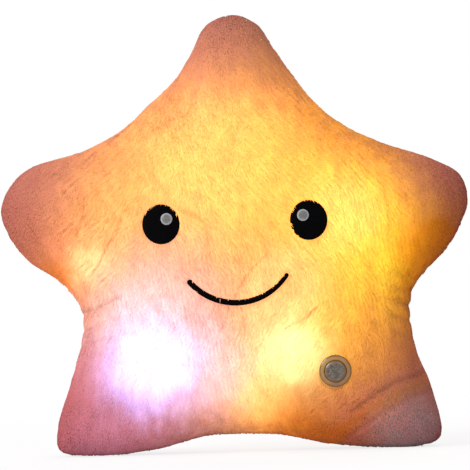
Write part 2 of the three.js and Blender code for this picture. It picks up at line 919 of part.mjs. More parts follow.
function lampPocket() {
  const to = -lampBoardDepth - boardThickness - lampDomeLength - seatGap * 2;
  return disc(lampBoardDiameter / 2 + seatGap, to, overrun, smallSides);
}

function lampGroup({ across, height }) {
  const group = new THREE.Group();
  group.position.set(across, 0, height);
  return group;
}

// The leads: straight from lamp to lamp along the middle of the filling, and two from the battery box.
function lampEdge(place, towards) {
  const from = new THREE.Vector3(place.across, -leadDepth, place.height);
  const to = new THREE.Vector3(towards.across, -leadDepth, towards.height);
  return from.add(to.sub(from).normalize().multiplyScalar(leadEnd));
}

function lampToLamp(a, b) {
  const [from, to] = [lampPlaces[a], lampPlaces[b]];
  return new THREE.LineCurve3(lampEdge(from, to), lampEdge(to, from));
}

// A lead's route, stepped evenly from point to point rather than along its length.
class Route extends THREE.CatmullRomCurve3 {
  getPointAt(t, target) {
    return this.getPoint(t, target);
  }

  getTangentAt(t, target) {
    return this.getTangent(t, target);
  }
}

function boxLeadStart(across) {
  const above = boardBack + seatGap + leadRadius;
  return [
    new THREE.Vector3(across, above, controlLow + leadHole),
    new THREE.Vector3(across, above, leadExitHeight + leadHole),
    new THREE.Vector3(across, above - leadRadius, leadExitHeight + leadRadius),
    new THREE.Vector3(across, boxFront + boxWall, leadExitHeight),
    new THREE.Vector3(across, pocketFront, leadExitHeight),
    new THREE.Vector3(across, pocketFront - leadHole * 2, leadExitHeight),
  ];
}

function boxToLamp() {
  const place = lampPlaces.lower_left;
  const exit = { across: lampLeadExit, height: leadExitHeight };
  const end = lampEdge(place, exit);
  const bend = end.clone().lerp(new THREE.Vector3(lampLeadExit, -leadDepth, leadExitHeight), leadBendShare);
  return new Route([...boxLeadStart(lampLeadExit), bend, end]);
}

function boxToButton() {
  const end = buttonPoint(housingTo - housingWall);
  const out = buttonPoint(housingTo + stemDiameter / 2);
  const turn = buttonPoint(housingTo + bezelDiameter);
  return new Route([...boxLeadStart(switchLeadExit), turn, out, end]);
}

const leads = {
  lamp_lead_box: boxToLamp(),
  lamp_lead_bottom: lampToLamp("lower_left", "lower_right"),
  lamp_lead_left: lampToLamp("lower_left", "left"),
  lamp_lead_top: lampToLamp("left", "top"),
  lamp_lead_right: lampToLamp("top", "right"),
  switch_lead: boxToButton(),
};

function lead(curve, room = 0) {
  const steps = curve.isLineCurve3 ? 1 : (curve.points.length - 1) * leadStepsPerPoint;
  return tube(curve, leadRadius + room, leadSides, steps);
}

// The colours of the finishes, lamps off.
const finish = (color, roughness, metalness = 0) =>
  new THREE.MeshStandardMaterial({ color, roughness, metalness });
const plush = finish("#e9a3a6", 0.95);
const filling = finish("#f2efe8", 1);
const blackThread = finish("#121016", 0.6);
const greyThread = finish("#9c99a2", 0.6);
const tape = finish("#d9868e", 0.9);
const nylon = finish("#e39aa0", 0.5);
const sliderMetal = finish("#b9b4ae", 0.35, 1);
const clearPlastic = finish("#e8dfd2", 0.15);
const greyPlastic = finish("#8f867c", 0.35);
const whitePlastic = finish("#e6e4df", 0.5);
const pouchCloth = finish("#efe9e2", 0.95);
const springSteel = finish("#c4c6c8", 0.3, 1);
const cellSleeve = finish("#3d4a55", 0.4, 0.6);
const boardGreen = finish("#2f6b3f", 0.6);
const chipBlack = finish("#17181a", 0.5);
const lensClear = finish("#f4f1ea", 0.2);
const leadSheath = finish("#b3272c", 0.5);

const star = new THREE.Group();

function piece(parent, name, solid, material) {
  const mesh = new THREE.Mesh(geometryOf(solid), material);
  mesh.name = name;
  parent.add(mesh);
}

// The face: two eyes, each with a pale highlight, and the smile.
const eyes = { left_eye: -1, right_eye: 1 };
const recesses = [faceColumn(smile(seatGap))];
for (const [name, side] of Object.entries(eyes)) {
  const across = (side * eyeSpacing) / 2;
  const spotAcross = across - side * highlightInward;
  const spot = [spotAcross, eyeHeight + highlightUp, highlightDiameter, highlightDiameter];
  const eye = faceColumn(ellipse(across, eyeHeight, eyeWidth, eyeLength));
  const hole = faceColumn(ellipse(...spot, seatGap));
  recesses.push(faceColumn(ellipse(across, eyeHeight, eyeWidth, eyeLength, seatGap)));
  piece(star, name, cut(embroidery(eye), hole), blackThread);
  piece(star, name + "_highlight", embroidery(faceColumn(ellipse(...spot))), greyThread);
}
piece(star, "mouth", embroidery(faceColumn(smile())), blackThread);

// The two plush panels.
const recessFloor = halfBody(-1, embroideryDepth + embroideryThickness + seatGap, overrun);
const seat = inButtonFrame(buttonSeat());
const frontPanel = cut(
  halfBody(-1, 0),
  halfBody(-1, fabricThickness, overrun),
  floorCut,
  ...recesses.map((column) => cut(column, recessFloor)),
  seat,
);
const backPanel = cut(
  halfBody(1, 0),
  halfBody(1, fabricThickness, overrun),
  floorCut,
  zipRelief(),
  slot(zipSlotLength, zipSlotWidth, pocketFront, halfThickness + overrun),
);
piece(star, "front_panel", frontPanel, plush);
piece(star, "back_panel", backPanel, plush);

// The filling in two halves, with room for what it holds.
const tunnels = Object.values(leads).map((curve) => lead(curve, leadRoom));
const lampPockets = Object.values(lampPlaces).map(({ across, height }) =>
  lampPocket().translate([across, 0, height]),
);
const fillingOffset = fabricThickness + seatGap;
const pocketRoom = block(
  [-pocketWidth / 2 - seatGap, pocketFront - seatGap, pocketLow - seatGap],
  [pocketWidth / 2 + seatGap, halfThickness + overrun, pocketHigh + seatGap],
);
const tapeRoom = block(
  [-tapeLength / 2 - seatGap, sliderBottom - seatGap, zipHeight - tapePart / 2 - tapeWidth - seatGap],
  [tapeLength / 2 + seatGap, halfThickness + overrun, zipHeight + tapePart / 2 + tapeWidth + seatGap],
);
piece(
  star,
  "front_filling",
  cut(halfBody(-1, fillingOffset), ...lampPockets, inButtonFrame(buttonPocket()), ...tunnels),
  filling,
);
piece(
  star,
  "back_filling",
  cut(halfBody(1, fillingOffset), pocketRoom, tapeRoom, tunnels[0], tunnels[tunnels.length - 1]),
  filling,
);

// The press button.
piece(buttonGroup, "button_bezel", buttonBezel(), clearPlastic);
piece(buttonGroup, "button_cap", buttonCap(), greyPlastic);
piece(
  buttonGroup,
  "button_retainer",
  ring(
    stemDiameter / 2 + seatGap,
    retainerDiameter / 2,
    retainerFrom,
    retainerFrom + retainerThickness,
    roundSides,
  ),
  whitePlastic,
);
piece(buttonGroup, "button_housing", buttonHousing(), whitePlastic);
piece(
  buttonGroup,
  "switch_board",
  disc(stemDiameter / 2 - housingWall - seatGap, switchBoardFrom, switchBoardTo, smallSides),
  boardGreen,
);
piece(buttonGroup, "switch_body", switchBody(), chipBlack);
piece(
  buttonGroup,
  "switch_plunger",
  disc(plungerDiameter / 2, plungerFrom, plungerTo, smallSides),
  whitePlastic,
);
piece(buttonGroup, "button_spring", buttonSpring(), springSteel);
star.add(buttonGroup);

// The zip.
piece(star, "zip_tape_upper", zipTape(1), tape);
piece(star, "zip_tape_lower", zipTape(-1), tape);
piece(star, "zip_teeth_upper", zipTeeth(1), nylon);
piece(star, "zip_teeth_lower", zipTeeth(-1), nylon);
piece(star, "zip_slider", zipSlider(), sliderMetal);
piece(star, "zip_pull", zipPull(), sliderMetal);
piece(star, "zip_top_stop_upper", topStop(1), nylon);
piece(star, "zip_top_stop_lower", topStop(-1), nylon);
piece(star, "zip_bottom_stop", bottomStop(), nylon);

// The battery pocket and the battery box.
piece(star, "battery_pocket", batteryPocket(), pouchCloth);
piece(star, "battery_box", batteryBox(), whitePlastic);
piece(star, "battery_lid", batteryLid(), whitePlastic);
for (let i = 0; i < cellCount; i++) {
  const line = cellLine(i);
  piece(line, "battery_cell_" + (i + 1), cell(), cellSleeve);
  piece(line, "cell_spring_" + (i + 1), cellSpring(), springSteel);
  piece(line, "cell_contact_" + (i + 1), cellContact(), springSteel);
  star.add(line);
}
piece(star, "control_board", controlBoard(), boardGreen);
piece(star, "control_chip", controlChip(), chipBlack);

// The lamps and their leads.
for (const [name, place] of Object.entries(lampPlaces)) {
  const group = lampGroup(place);
  piece(group, "lamp_board_" + name, lampBoard(), boardGreen);
  piece(group, "lamp_lens_" + name, lampDome(), lensClear);
  star.add(group);
}
for (const [name, curve] of Object.entries(leads)) piece(star, name, lead(curve), leadSheath);

export default star;
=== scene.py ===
"""The looks of the plush star night light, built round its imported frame: pile, glow, face, button and zip.

Shapes are worked out in millimetres, +Z up and the face towards -Y, and stored in metres.
"""

import json

import bmesh
import bpy
import numpy as np
from mathutils import Matrix, Vector

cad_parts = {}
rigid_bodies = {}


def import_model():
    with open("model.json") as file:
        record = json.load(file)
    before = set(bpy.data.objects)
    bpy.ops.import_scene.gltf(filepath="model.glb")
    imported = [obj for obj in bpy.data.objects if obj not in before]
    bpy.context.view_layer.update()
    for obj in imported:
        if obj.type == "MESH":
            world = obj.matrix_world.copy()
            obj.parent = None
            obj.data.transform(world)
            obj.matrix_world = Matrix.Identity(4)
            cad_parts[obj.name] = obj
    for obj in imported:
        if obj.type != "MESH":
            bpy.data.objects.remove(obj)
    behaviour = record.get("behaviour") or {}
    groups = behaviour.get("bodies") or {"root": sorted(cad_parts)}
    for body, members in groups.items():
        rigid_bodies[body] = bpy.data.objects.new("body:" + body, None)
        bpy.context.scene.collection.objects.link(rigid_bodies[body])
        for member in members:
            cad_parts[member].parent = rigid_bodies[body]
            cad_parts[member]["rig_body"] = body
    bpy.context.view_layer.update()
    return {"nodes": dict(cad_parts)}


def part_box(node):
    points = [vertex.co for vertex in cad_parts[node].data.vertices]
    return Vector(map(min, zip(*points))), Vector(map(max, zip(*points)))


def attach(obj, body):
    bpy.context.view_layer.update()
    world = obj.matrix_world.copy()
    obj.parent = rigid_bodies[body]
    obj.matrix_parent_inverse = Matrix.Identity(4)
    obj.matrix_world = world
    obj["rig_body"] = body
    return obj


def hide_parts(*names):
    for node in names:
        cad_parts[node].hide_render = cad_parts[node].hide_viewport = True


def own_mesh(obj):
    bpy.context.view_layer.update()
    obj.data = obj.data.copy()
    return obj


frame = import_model()
nodes = frame["nodes"]
MM = 0.001

# The star's sizes and outline. They are the solid model's, but for the two feet's outer corners, which the
# pile fills out by up to 4 mm. The outline's corners were measured on the photograph, and are rounded shares
# of half the width, from the middle, and of the height, from the floor.
STAR_WIDTH = 381.0
STAR_HEIGHT = 356.0
BODY_THICKNESS = 116.0
MIDDLE_HEIGHT = 160.0
FOOT_FLAT = 0.5
FOOT_SOLE = 28.0
FOOT_SOLE_HEIGHT = 8.0
HALF_SEAM = 0.15
CROWN_POWER = 3.0
SIDE_FULLNESS = 0.6
FOOT_FULLNESS = 0.3
FOOT_BLEND_HEIGHT = 30.0
OUTLINE_SHARES = np.array([
    [0.009, 1.0], [-0.096, 0.978], [-0.175, 0.907], [-0.238, 0.857], [-0.364, 0.795],
    [-0.479, 0.742], [-0.636, 0.699], [-0.878, 0.66], [-0.962, 0.618], [-1.0, 0.565],
    [-0.967, 0.506], [-0.888, 0.449], [-0.768, 0.404], [-0.705, 0.368], [-0.668, 0.331],
    [-0.663, 0.289], [-0.684, 0.236], [-0.726, 0.163], [-0.783, 0.067], [-0.775, 0.015],
    [-0.594, 0.0], [-0.353, 0.011], [-0.154, 0.036], [0.009, 0.039], [0.177, 0.034],
    [0.371, 0.012], [0.613, 0.0], [0.765, 0.001], [0.852, 0.023], [0.823, 0.132],
    [0.765, 0.216], [0.744, 0.275], [0.739, 0.323], [0.76, 0.365], [0.818, 0.404],
    [0.902, 0.449], [0.965, 0.503], [1.0, 0.562], [0.97, 0.618], [0.865, 0.654],
    [0.644, 0.697], [0.492, 0.736], [0.371, 0.787], [0.261, 0.862], [0.193, 0.916],
    [0.114, 0.978],
])
OUTLINE_TURNS = 552
PROFILE_STEPS = 60

# The fabric: its backing lies under the pile, whose tips reach the model's surface.
PILE_DEPTH = 2.3
BACKING = 1.6
FRONT_FIBRES = 190000
BACK_FIBRES = 128000

# The face, the button and the zip, within 3 mm of the solid model.
EYE_ACROSS = 59.2
EYE_HEIGHT = 185.8
EYE_WIDTH = 30.0
EYE_LENGTH = 32.0
HIGHLIGHT_WIDTH = 9.4
HIGHLIGHT_INWARD = 4.5
HIGHLIGHT_UP = 4.1
MOUTH_RADIUS = 49.0
MOUTH_MIDDLE = 170.3
MOUTH_SWEEP = np.radians(109.5)
MOUTH_TURN = np.radians(2.3)
MOUTH_STROKE = 4.6
EMBROIDERY_DEPTH = 1.2
BUTTON_SHARES = (0.404, 0.18)
BUTTON_RADIUS = 13.0
STEM_RADIUS = 10.2
SPRING_RADIUS = 5.25
ZIP_HEIGHT = 160.0
SLOT_LENGTH = 120.0
SLOT_WIDTH = 11.0
TAPE_LENGTH = 128.0


# The camera: a long lens, level with the face and rolled a little, as the photograph was taken.
def make_camera():
    """A camera in front of the star whose picture is `picture_span` metres wide at the seam plane."""
    picture_span, distance, across, height, roll = 0.3816, 4.0, -0.0002, 0.1755, np.radians(1.7)
    data = bpy.data.cameras.new("camera")
    data.sensor_width = 36.0
    data.lens = data.sensor_width * distance / picture_span
    data.clip_end = 50.0
    camera = bpy.data.objects.new("camera", data)
    right = Vector((np.cos(roll), 0.0, -np.sin(roll)))
    up = Vector((np.sin(roll), 0.0, np.cos(roll)))
    turn = Matrix((right, up, Vector((0.0, -1.0, 0.0)))).transposed().to_4x4()
    camera.matrix_world = Matrix.Translation((across, -distance, height)) @ turn
    bpy.context.scene.collection.objects.link(camera)
    bpy.context.scene.camera = camera


make_camera()
bpy.context.scene.view_settings.view_transform = "Standard"


# Meshes from whole arrays.
def mesh_piece(name, corners, face_sets, material, slot=None, body="star", smooth=True):
    """A piece from corner points in millimetres and sets of faces, turned so that they face outwards."""
    corners = np.asarray(corners, float)
    total = 0.0
    for faces in face_sets:
        a, b, c = (corners[faces[:, i]] for i in (0, 1, 2))
        total += np.einsum("ij,ij->i", a, np.cross(b, c)).sum()
        if faces.shape[1] == 4:
            d = corners[faces[:, 3]]
            total += np.einsum("ij,ij->i", a, np.cross(c, d)).sum()
    if total < 0:
        face_sets = [faces[:, ::-1] for faces in face_sets]
    loops = np.concatenate([faces.ravel() for faces in face_sets])
    sizes = np.concatenate([np.full(len(faces), faces.shape[1]) for faces in face_sets])
    mesh = bpy.data.meshes.new(name)
    mesh.vertices.add(len(corners))
    mesh.vertices.foreach_set("co", (corners * MM).astype(np.float32).ravel())
    mesh.loops.add(len(loops))
    mesh.loops.foreach_set("vertex_index", loops.astype(np.int32))
    mesh.polygons.add(len(sizes))
    starts = np.concatenate([[0], np.cumsum(sizes)[:-1]])
    mesh.polygons.foreach_set("loop_start", starts.astype(np.int32))
    mesh.polygons.foreach_set("use_smooth", np.full(len(sizes), smooth))
    mesh.update(calc_edges=True)
    mesh.materials.append(material)
    piece = bpy.data.objects.new(name, mesh)
    bpy.context.scene.collection.objects.link(piece)
    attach(piece, body)
    return piece


def piece_places(piece):
    """A piece's corner points, in millimetres."""
    places = np.zeros(len(piece.data.vertices) * 3, np.float32)
    piece.data.vertices.foreach_get("co", places)
    return places.reshape(-1, 3) / MM


def store(piece, label, values):
    """Keeps one number for each corner point of a piece, under the name by which its material reads it."""
    layer = piece.data.attributes.new(label, "FLOAT", "POINT")
    layer.data.foreach_set("value", values.astype(np.float32))


def ring_faces(count, size, closed):
    """Quads between neighbouring rings of a stack, each ring of the same size and closed on itself."""
    rings = np.arange(count if closed else count - 1)
    i, j = (grid.ravel() for grid in np.meshgrid(rings, np.arange(size), indexing="ij"))
    after, beside = (i + 1) % count, (j + 1) % size
    return np.stack([i * size + j, i * size + beside, after * size + beside, after * size + j], -1)


def stack(rings, closed=False):
    """Corners and faces of a stack of rings. An open stack is closed by a fan to the middle of each end."""
    count, size = rings.shape[:2]
    corners = rings.reshape(-1, 3)
    quads = ring_faces(count, size, closed)
    if closed:
        return corners, [quads]
    j = np.arange(size)
    beside = (j + 1) % size
    low, high = len(corners), len(corners) + 1
    last = (count - 1) * size
    fans = np.concatenate([
        np.stack([beside, j, np.full(size, low)], -1),
        np.stack([last + j, last + beside, np.full(size, high)], -1),
    ])
    ends = np.stack([rings[0].mean(0), rings[-1].mean(0)])
    return np.concatenate([corners, ends]), [quads, fans]


def joined(parts):
    """Several sets of corners and faces as one."""
    corners, quads, fans, first = [], [], [], 0
    for part_corners, face_sets in parts:
        corners.append(part_corners)
        for faces in face_sets:
            (quads if faces.shape[1] == 4 else fans).append(faces + first)
        first += len(part_corners)
    sets = [np.concatenate(group) for group in (quads, fans) if group]
    return np.concatenate(corners), sets


def swept(path, across, up, profile, widths=None):
    """Rings of a profile carried along a path: each profile point is laid off along `across` and `up`."""
    widths = np.ones(len(path)) if widths is None else widths
    side = profile[None, :, :1] * across[:, None, :] + profile[None, :, 1:] * up[:, None, :]
    return path[:, None, :] + side * widths[:, None, None]


def circle(radius, sides, squash=1.0):
    """Points of a circle in its own plane, flattened by `squash` in its second direction."""
    angle = np.arange(sides) / sides * 2 * np.pi
    return np.stack([radius * np.cos(angle), squash * radius * np.sin(angle)], -1)


def along_path(path, reference):
    """Directions across and up from a path, from its own direction and one reference direction."""
    ahead = np.gradient(path, axis=0)
    ahead /= np.linalg.norm(ahead, axis=1)[:, None]
    across = np.cross(ahead, np.broadcast_to(np.asarray(reference, float), ahead.shape))
    across /= np.linalg.norm(across, axis=1)[:, None]
    return across, np.cross(across, ahead)


def thread(path, reference, radius, sides=6):
    """Corners and faces of a round thread along a path."""
    across, up = along_path(path, reference)
    return stack(swept(path, across, up, circle(radius, sides)))


def ripple(x, z, length, seed):
    """Soft unevenness from -1 to 1: the mean of eight sine waves of about one length in eight directions."""
    rng = np.random.default_rng(seed)
    total = np.zeros_like(x)
    for angle in rng.uniform(0, 2 * np.pi, 8):
        pitch = length * rng.uniform(0.7, 1.5)
        start = rng.uniform(0, 2 * np.pi)
        total += np.sin((x * np.cos(angle) + z * np.sin(angle)) * 2 * np.pi / pitch + start)
    return total / 4.0


# The body's form.
def closed_curve(corners, steps):
    """A closed centripetal curve: a cubic from corner to corner, its slopes weighted by the gaps' roots."""
    count = len(corners)
    place = np.arange(steps) / steps * count
    index = np.floor(place).astype(int)
    w = (place - index)[:, None]
    p0, p1, p2, p3 = (corners[(index + k) % count] for k in (-1, 0, 1, 2))
    g0, g1, g2 = (
        np.sqrt(np.linalg.norm(b - a, axis=1))[:, None] for a, b in ((p0, p1), (p1, p2), (p2, p3))
    )
    m1 = ((p1 - p0) / g0 - (p2 - p0) / (g0 + g1) + (p2 - p1) / g1) * g1
    m2 = ((p2 - p1) / g1 - (p3 - p1) / (g1 + g2) + (p3 - p2) / g2) * g1
    cubic = (2 * p1 - 2 * p2 + m1 + m2) * w**3 + (-3 * p1 + 3 * p2 - 2 * m1 - m2) * w**2
    return cubic + m1 * w + p1


MIDDLE = np.array([0.0, MIDDLE_HEIGHT - FOOT_FLAT])
corners_mm = OUTLINE_SHARES * [STAR_WIDTH / 2, STAR_HEIGHT] - [0.0, FOOT_FLAT]
OUTLINE = closed_curve(corners_mm, OUTLINE_TURNS)
SPOKES = OUTLINE - MIDDLE
REACH = np.linalg.norm(SPOKES, axis=1)
ahead = np.roll(SPOKES, -1, axis=0) - np.roll(SPOKES, 1, axis=0)
ahead /= np.linalg.norm(ahead, axis=1)[:, None]
LEAN = (ahead[:, 1] * SPOKES[:, 0] - ahead[:, 0] * SPOKES[:, 1]) / REACH
BEARING = np.unwrap(np.arctan2(SPOKES[:, 1], SPOKES[:, 0]))
# How far each place of the outline faces down and to the right, away from the light: 0 to 1.
UNDERSIDE = np.clip(0.75 * ahead[:, 1] + 0.8 * ahead[:, 0], 0, 1)


def smooth_step(value, low, high):
    """0 below `low`, 1 above `high`, and a smooth cubic between."""
    t = np.clip((value - low) / (high - low), 0, 1)
    return t * t * (3 - 2 * t)


def form_at(rim_height, sunk):
    """The form's half thickness, its sides' fullness and its sole's half depth, drawn in by `sunk`, at a
    place whose outline is at `rim_height`."""
    at_foot = 1 - smooth_step(rim_height, 0, FOOT_BLEND_HEIGHT)
    fullness = SIDE_FULLNESS + (FOOT_FULLNESS - SIDE_FULLNESS) * at_foot
    sole = (FOOT_SOLE / 2 - sunk) * (1 - smooth_step(rim_height, 0, FOOT_SOLE_HEIGHT))
    return BODY_THICKNESS / 2 - sunk, fullness, sole


def crown(share, rim_height, sunk):
    """How far the surface stands off the seam plane: the half thickness times (1 - share^3)^fullness."""
    half, fullness, sole = form_at(rim_height, sunk)
    depth = half * (1 - np.clip(share, 0, 1) ** CROWN_POWER) ** fullness
    return np.maximum(depth, np.maximum(sole, HALF_SEAM))


# The outline's five inner corners, counted along its list of corners, and how high their folds are.
VALLEY_FOLDS = ((4.4, 0.5), (15.0, 1.5), (23.0, 0.8), (32.0, 1.7), (41.6, 0.7))
BUTTON_X = BUTTON_SHARES[0] * STAR_WIDTH / 2
BUTTON_Z = BUTTON_SHARES[1] * STAR_HEIGHT


def star_place(x, z):
    """A place's share of the way from the middle to the outline, the outline's turn and its height there,
    looked up by the bearing from the middle."""
    x, z = np.asarray(x, float), np.asarray(z, float)
    bearing = np.arctan2(z - MIDDLE[1], x - MIDDLE[0])
    first = BEARING[0]
    bearing = first + np.mod(bearing - first, 2 * np.pi)
    turns, whole = np.append(BEARING, first + 2 * np.pi), np.arange(OUTLINE_TURNS + 1)
    turn = np.interp(bearing, turns, whole)
    reach = np.interp(turn, whole, np.append(REACH, REACH[0]))
    rim_height = np.interp(turn, whole, np.append(OUTLINE[:, 1], OUTLINE[0, 1]))
    share = np.hypot(x - MIDDLE[0], z - MIDDLE[1]) / reach
    return share, turn / OUTLINE_TURNS * len(OUTLINE_SHARES), rim_height, reach


def depth_at(x, z):
    """The plain form's distance from the seam plane over a place on the star."""
    share, _, rim_height, _ = star_place(x, z)
    return crown(share, rim_height, 0.0)


def folds_at(share, turn):
    """Folds that run in from the five inner corners: cosines along the outline, fading inwards."""
    width, inward = 1.5, 0.17
    fold, count = np.zeros_like(share + turn), len(OUTLINE_SHARES)
    for valley, height in VALLEY_FOLDS:
        off = np.mod(turn - valley + count / 2, count) - count / 2
        near = np.exp(-((off / width) ** 2)) * np.exp(-(((1.02 - share) / inward) ** 2))
        fold = fold + height * near * np.cos(off * 7.5 + 6 * share)
    return fold


# Creases and partings pressed into the front, along which the pile is also darkened with painted shade: two
# ends across and up, how wide and how deep.
CREASES = (
    ((-42.0, 196.0), (-22.0, 184.0), 1.6, 0.8),
    ((-1.0, 127.0), (22.0, 156.5), 0.9, 1.0),
    ((-7.5, 116.0), (-13.0, 102.0), 0.9, 0.8),
    ((2.5, 117.0), (4.5, 99.0), 0.9, 0.8),
    ((-18.0, 120.0), (-27.0, 105.0), 0.9, 0.7),
    ((-104.0, 168.0), (-113.0, 152.0), 1.0, 1.0),
    ((-92.0, 190.0), (-101.0, 172.0), 1.2, 0.7),
    ((-120.0, 205.0), (-126.0, 182.0), 1.4, 0.7),
    ((66.0, 118.0), (40.0, 101.0), 1.1, 0.8),
    ((58.0, 112.0), (44.0, 96.0), 0.9, 0.6),
    ((120.0, 205.0), (122.0, 172.0), 1.6, 0.6),
    ((92.0, 34.0), (147.0, 60.0), 2.6, 1.05),
    ((87.0, 12.0), (150.0, 45.0), 2.2, 0.7),
    ((127.0, 90.0), (139.0, 68.0), 8.0, 0.4),
    ((88.0, 168.0), (112.0, 138.0), 2.2, 0.6),
    ((-96.0, 128.0), (-128.0, 118.0), 2.5, 0.8),
    ((-60.0, 262.0), (-36.0, 272.0), 2.0, 0.5),
)


def near_line(x, z, start, end, width):
    """1 on a bowed line and less beside it: e^-(gap / width)^2, and the same over 5 mm past its ends."""
    (x0, z0), (x1, z1), bowing, fade = start, end, 0.06, 5.0
    run = np.hypot(x1 - x0, z1 - z0)
    along = ((x - x0) * (x1 - x0) + (z - z0) * (z1 - z0)) / run
    off = ((x - x0) * (z1 - z0) - (z - z0) * (x1 - x0)) / run
    bow = off + bowing * run * np.sin(np.clip(along / run, 0, 1) * np.pi)
    past = np.maximum(0, np.maximum(-along, along - run))
    return np.exp(-((bow / width) ** 2) - (past / fade) ** 2)


def creases_at(x, z):
    """How deep the creases are at a place: the sum of each line's depth times its nearness."""
    return sum(deep * near_line(x, z, start, end, width) for start, end, width, deep in CREASES)


def unevenness(x, z, share, turn, side):
    """Folds, creases and soft lumps of the stuffed fabric, in millimetres inwards, calm round the button."""
    lump_length, lump_height, calm_radius = 55.0, 0.7, 20.0
    lumps = ripple(x, z, lump_length, 3 + side) * lump_height * (1 - np.clip(share, 0, 1) ** 4)
    uneven = folds_at(share, turn) * (1 - share**3 * 0.5) + lumps
    if side > 0:
        return uneven
    from_button = np.hypot(x - BUTTON_X, z - BUTTON_Z)
    return (uneven + creases_at(x, z)) * (1 - np.exp(-((from_button / calm_radius) ** 2)))


def cover_rows(side, sunk):
    """Rings of one half of the body, from near its middle out to the seam: the outline drawn in by a share
    and set off the seam plane by the crown, less its unevenness, with a groove along the seam."""
    groove_share, groove_depth = 0.004, 1.2
    share = np.sin(np.linspace(0.002, 1, PROFILE_STEPS) * np.pi / 2)[:, None]
    turn = np.arange(OUTLINE_TURNS) / OUTLINE_TURNS * len(OUTLINE_SHARES) + 0 * share
    rim = SPOKES * (1 - sunk / (LEAN * REACH))[:, None]
    depth = crown(share, OUTLINE[None, :, 1], sunk)
    seam = np.exp(-(((1 - share) / groove_share) ** 2)) * groove_depth
    place = share[:, :, None] * rim[None, :, :]
    drawn = (folds_at(share, turn) + 0.3) * share**3 * 0.4 + seam
    place *= (1 - drawn / REACH[None, :])[:, :, None]
    x, z = place[..., 0] + MIDDLE[0], place[..., 1] + MIDDLE[1]
    depth = depth - unevenness(x, z, share, turn, side) * smooth_step(depth, 1.0, 14.0)
    z = np.maximum(z, sunk * 0.35)
    return np.stack([x, side * depth, z], -1)


def held_in(points, side, slack):
    """Keeps points within the body's form and a little slack: near the middle by their depth, and near the
    rim by their share of the way out, so that the outline stays smooth."""
    rim_share, inset, lowest = 0.86, 0.55, 0.15
    x, depth, z = points[..., 0], side * points[..., 1], points[..., 2]
    share, _, rim_height, reach = star_place(x, z)
    depth_limit = crown(share, rim_height, -slack)
    half, fullness, sole = form_at(rim_height, -slack)
    part = np.clip(depth / half, 0, 1) ** (1 / fullness)
    share_limit = np.where(depth < sole, 1.0, (1 - part) ** (1 / CROWN_POWER)) + slack / reach - inset / reach
    by_rim = share > rim_share
    scale = np.where(by_rim, np.minimum(1, share_limit / np.maximum(share, 1e-6)), 1.0)
    depth = np.where(by_rim, depth, np.minimum(depth, depth_limit))
    x = MIDDLE[0] + (x - MIDDLE[0]) * scale
    z = MIDDLE[1] + (z - MIDDLE[1]) * scale
    return np.stack([x, side * depth, np.maximum(z, lowest)], -1)


def surface_normals(rows, side):
    """Unit normals of a grid of rings, from the cross product of its two directions."""
    outward = np.gradient(rows, axis=0)
    round_it = np.roll(rows, -1, axis=1) - np.roll(rows, 1, axis=1)
    normal = np.cross(round_it, outward) * -side
    normal /= np.maximum(np.linalg.norm(normal, axis=2), 1e-9)[..., None]
    flip = np.sign(normal[..., 1] * side)
    flip[flip == 0] = 1
    return normal * flip[..., None]


# The button's own frame, square to the fabric.
button_centre = np.array([BUTTON_X, -float(depth_at(BUTTON_X, BUTTON_Z)), BUTTON_Z])
step = 4.5
slope_x = (depth_at(BUTTON_X + step, BUTTON_Z) - depth_at(BUTTON_X - step, BUTTON_Z)) / 2
slope_z = (depth_at(BUTTON_X, BUTTON_Z + step) - depth_at(BUTTON_X, BUTTON_Z - step)) / 2
button_out = np.array([-slope_x, -step, -slope_z], float)
button_out /= np.linalg.norm(button_out)
button_side = np.cross(button_out, [0.0, 0.0, 1.0])
button_side /= np.linalg.norm(button_side)
button_up = np.cross(button_side, button_out)


def turned(profile, sides, closed=False):
    """A profile of radius and depth below the plush, turned about the button's axis."""
    angle = np.arange(sides) / sides * 2 * np.pi
    spoke = np.cos(angle)[:, None] * button_side + np.sin(angle)[:, None] * button_up
    profile = np.asarray(profile, float)
    middle = button_centre - profile[:, 1:] * button_out
    rings = middle[:, None, :] + profile[:, :1, None] * spoke[None, :, :]
    return stack(rings, closed)


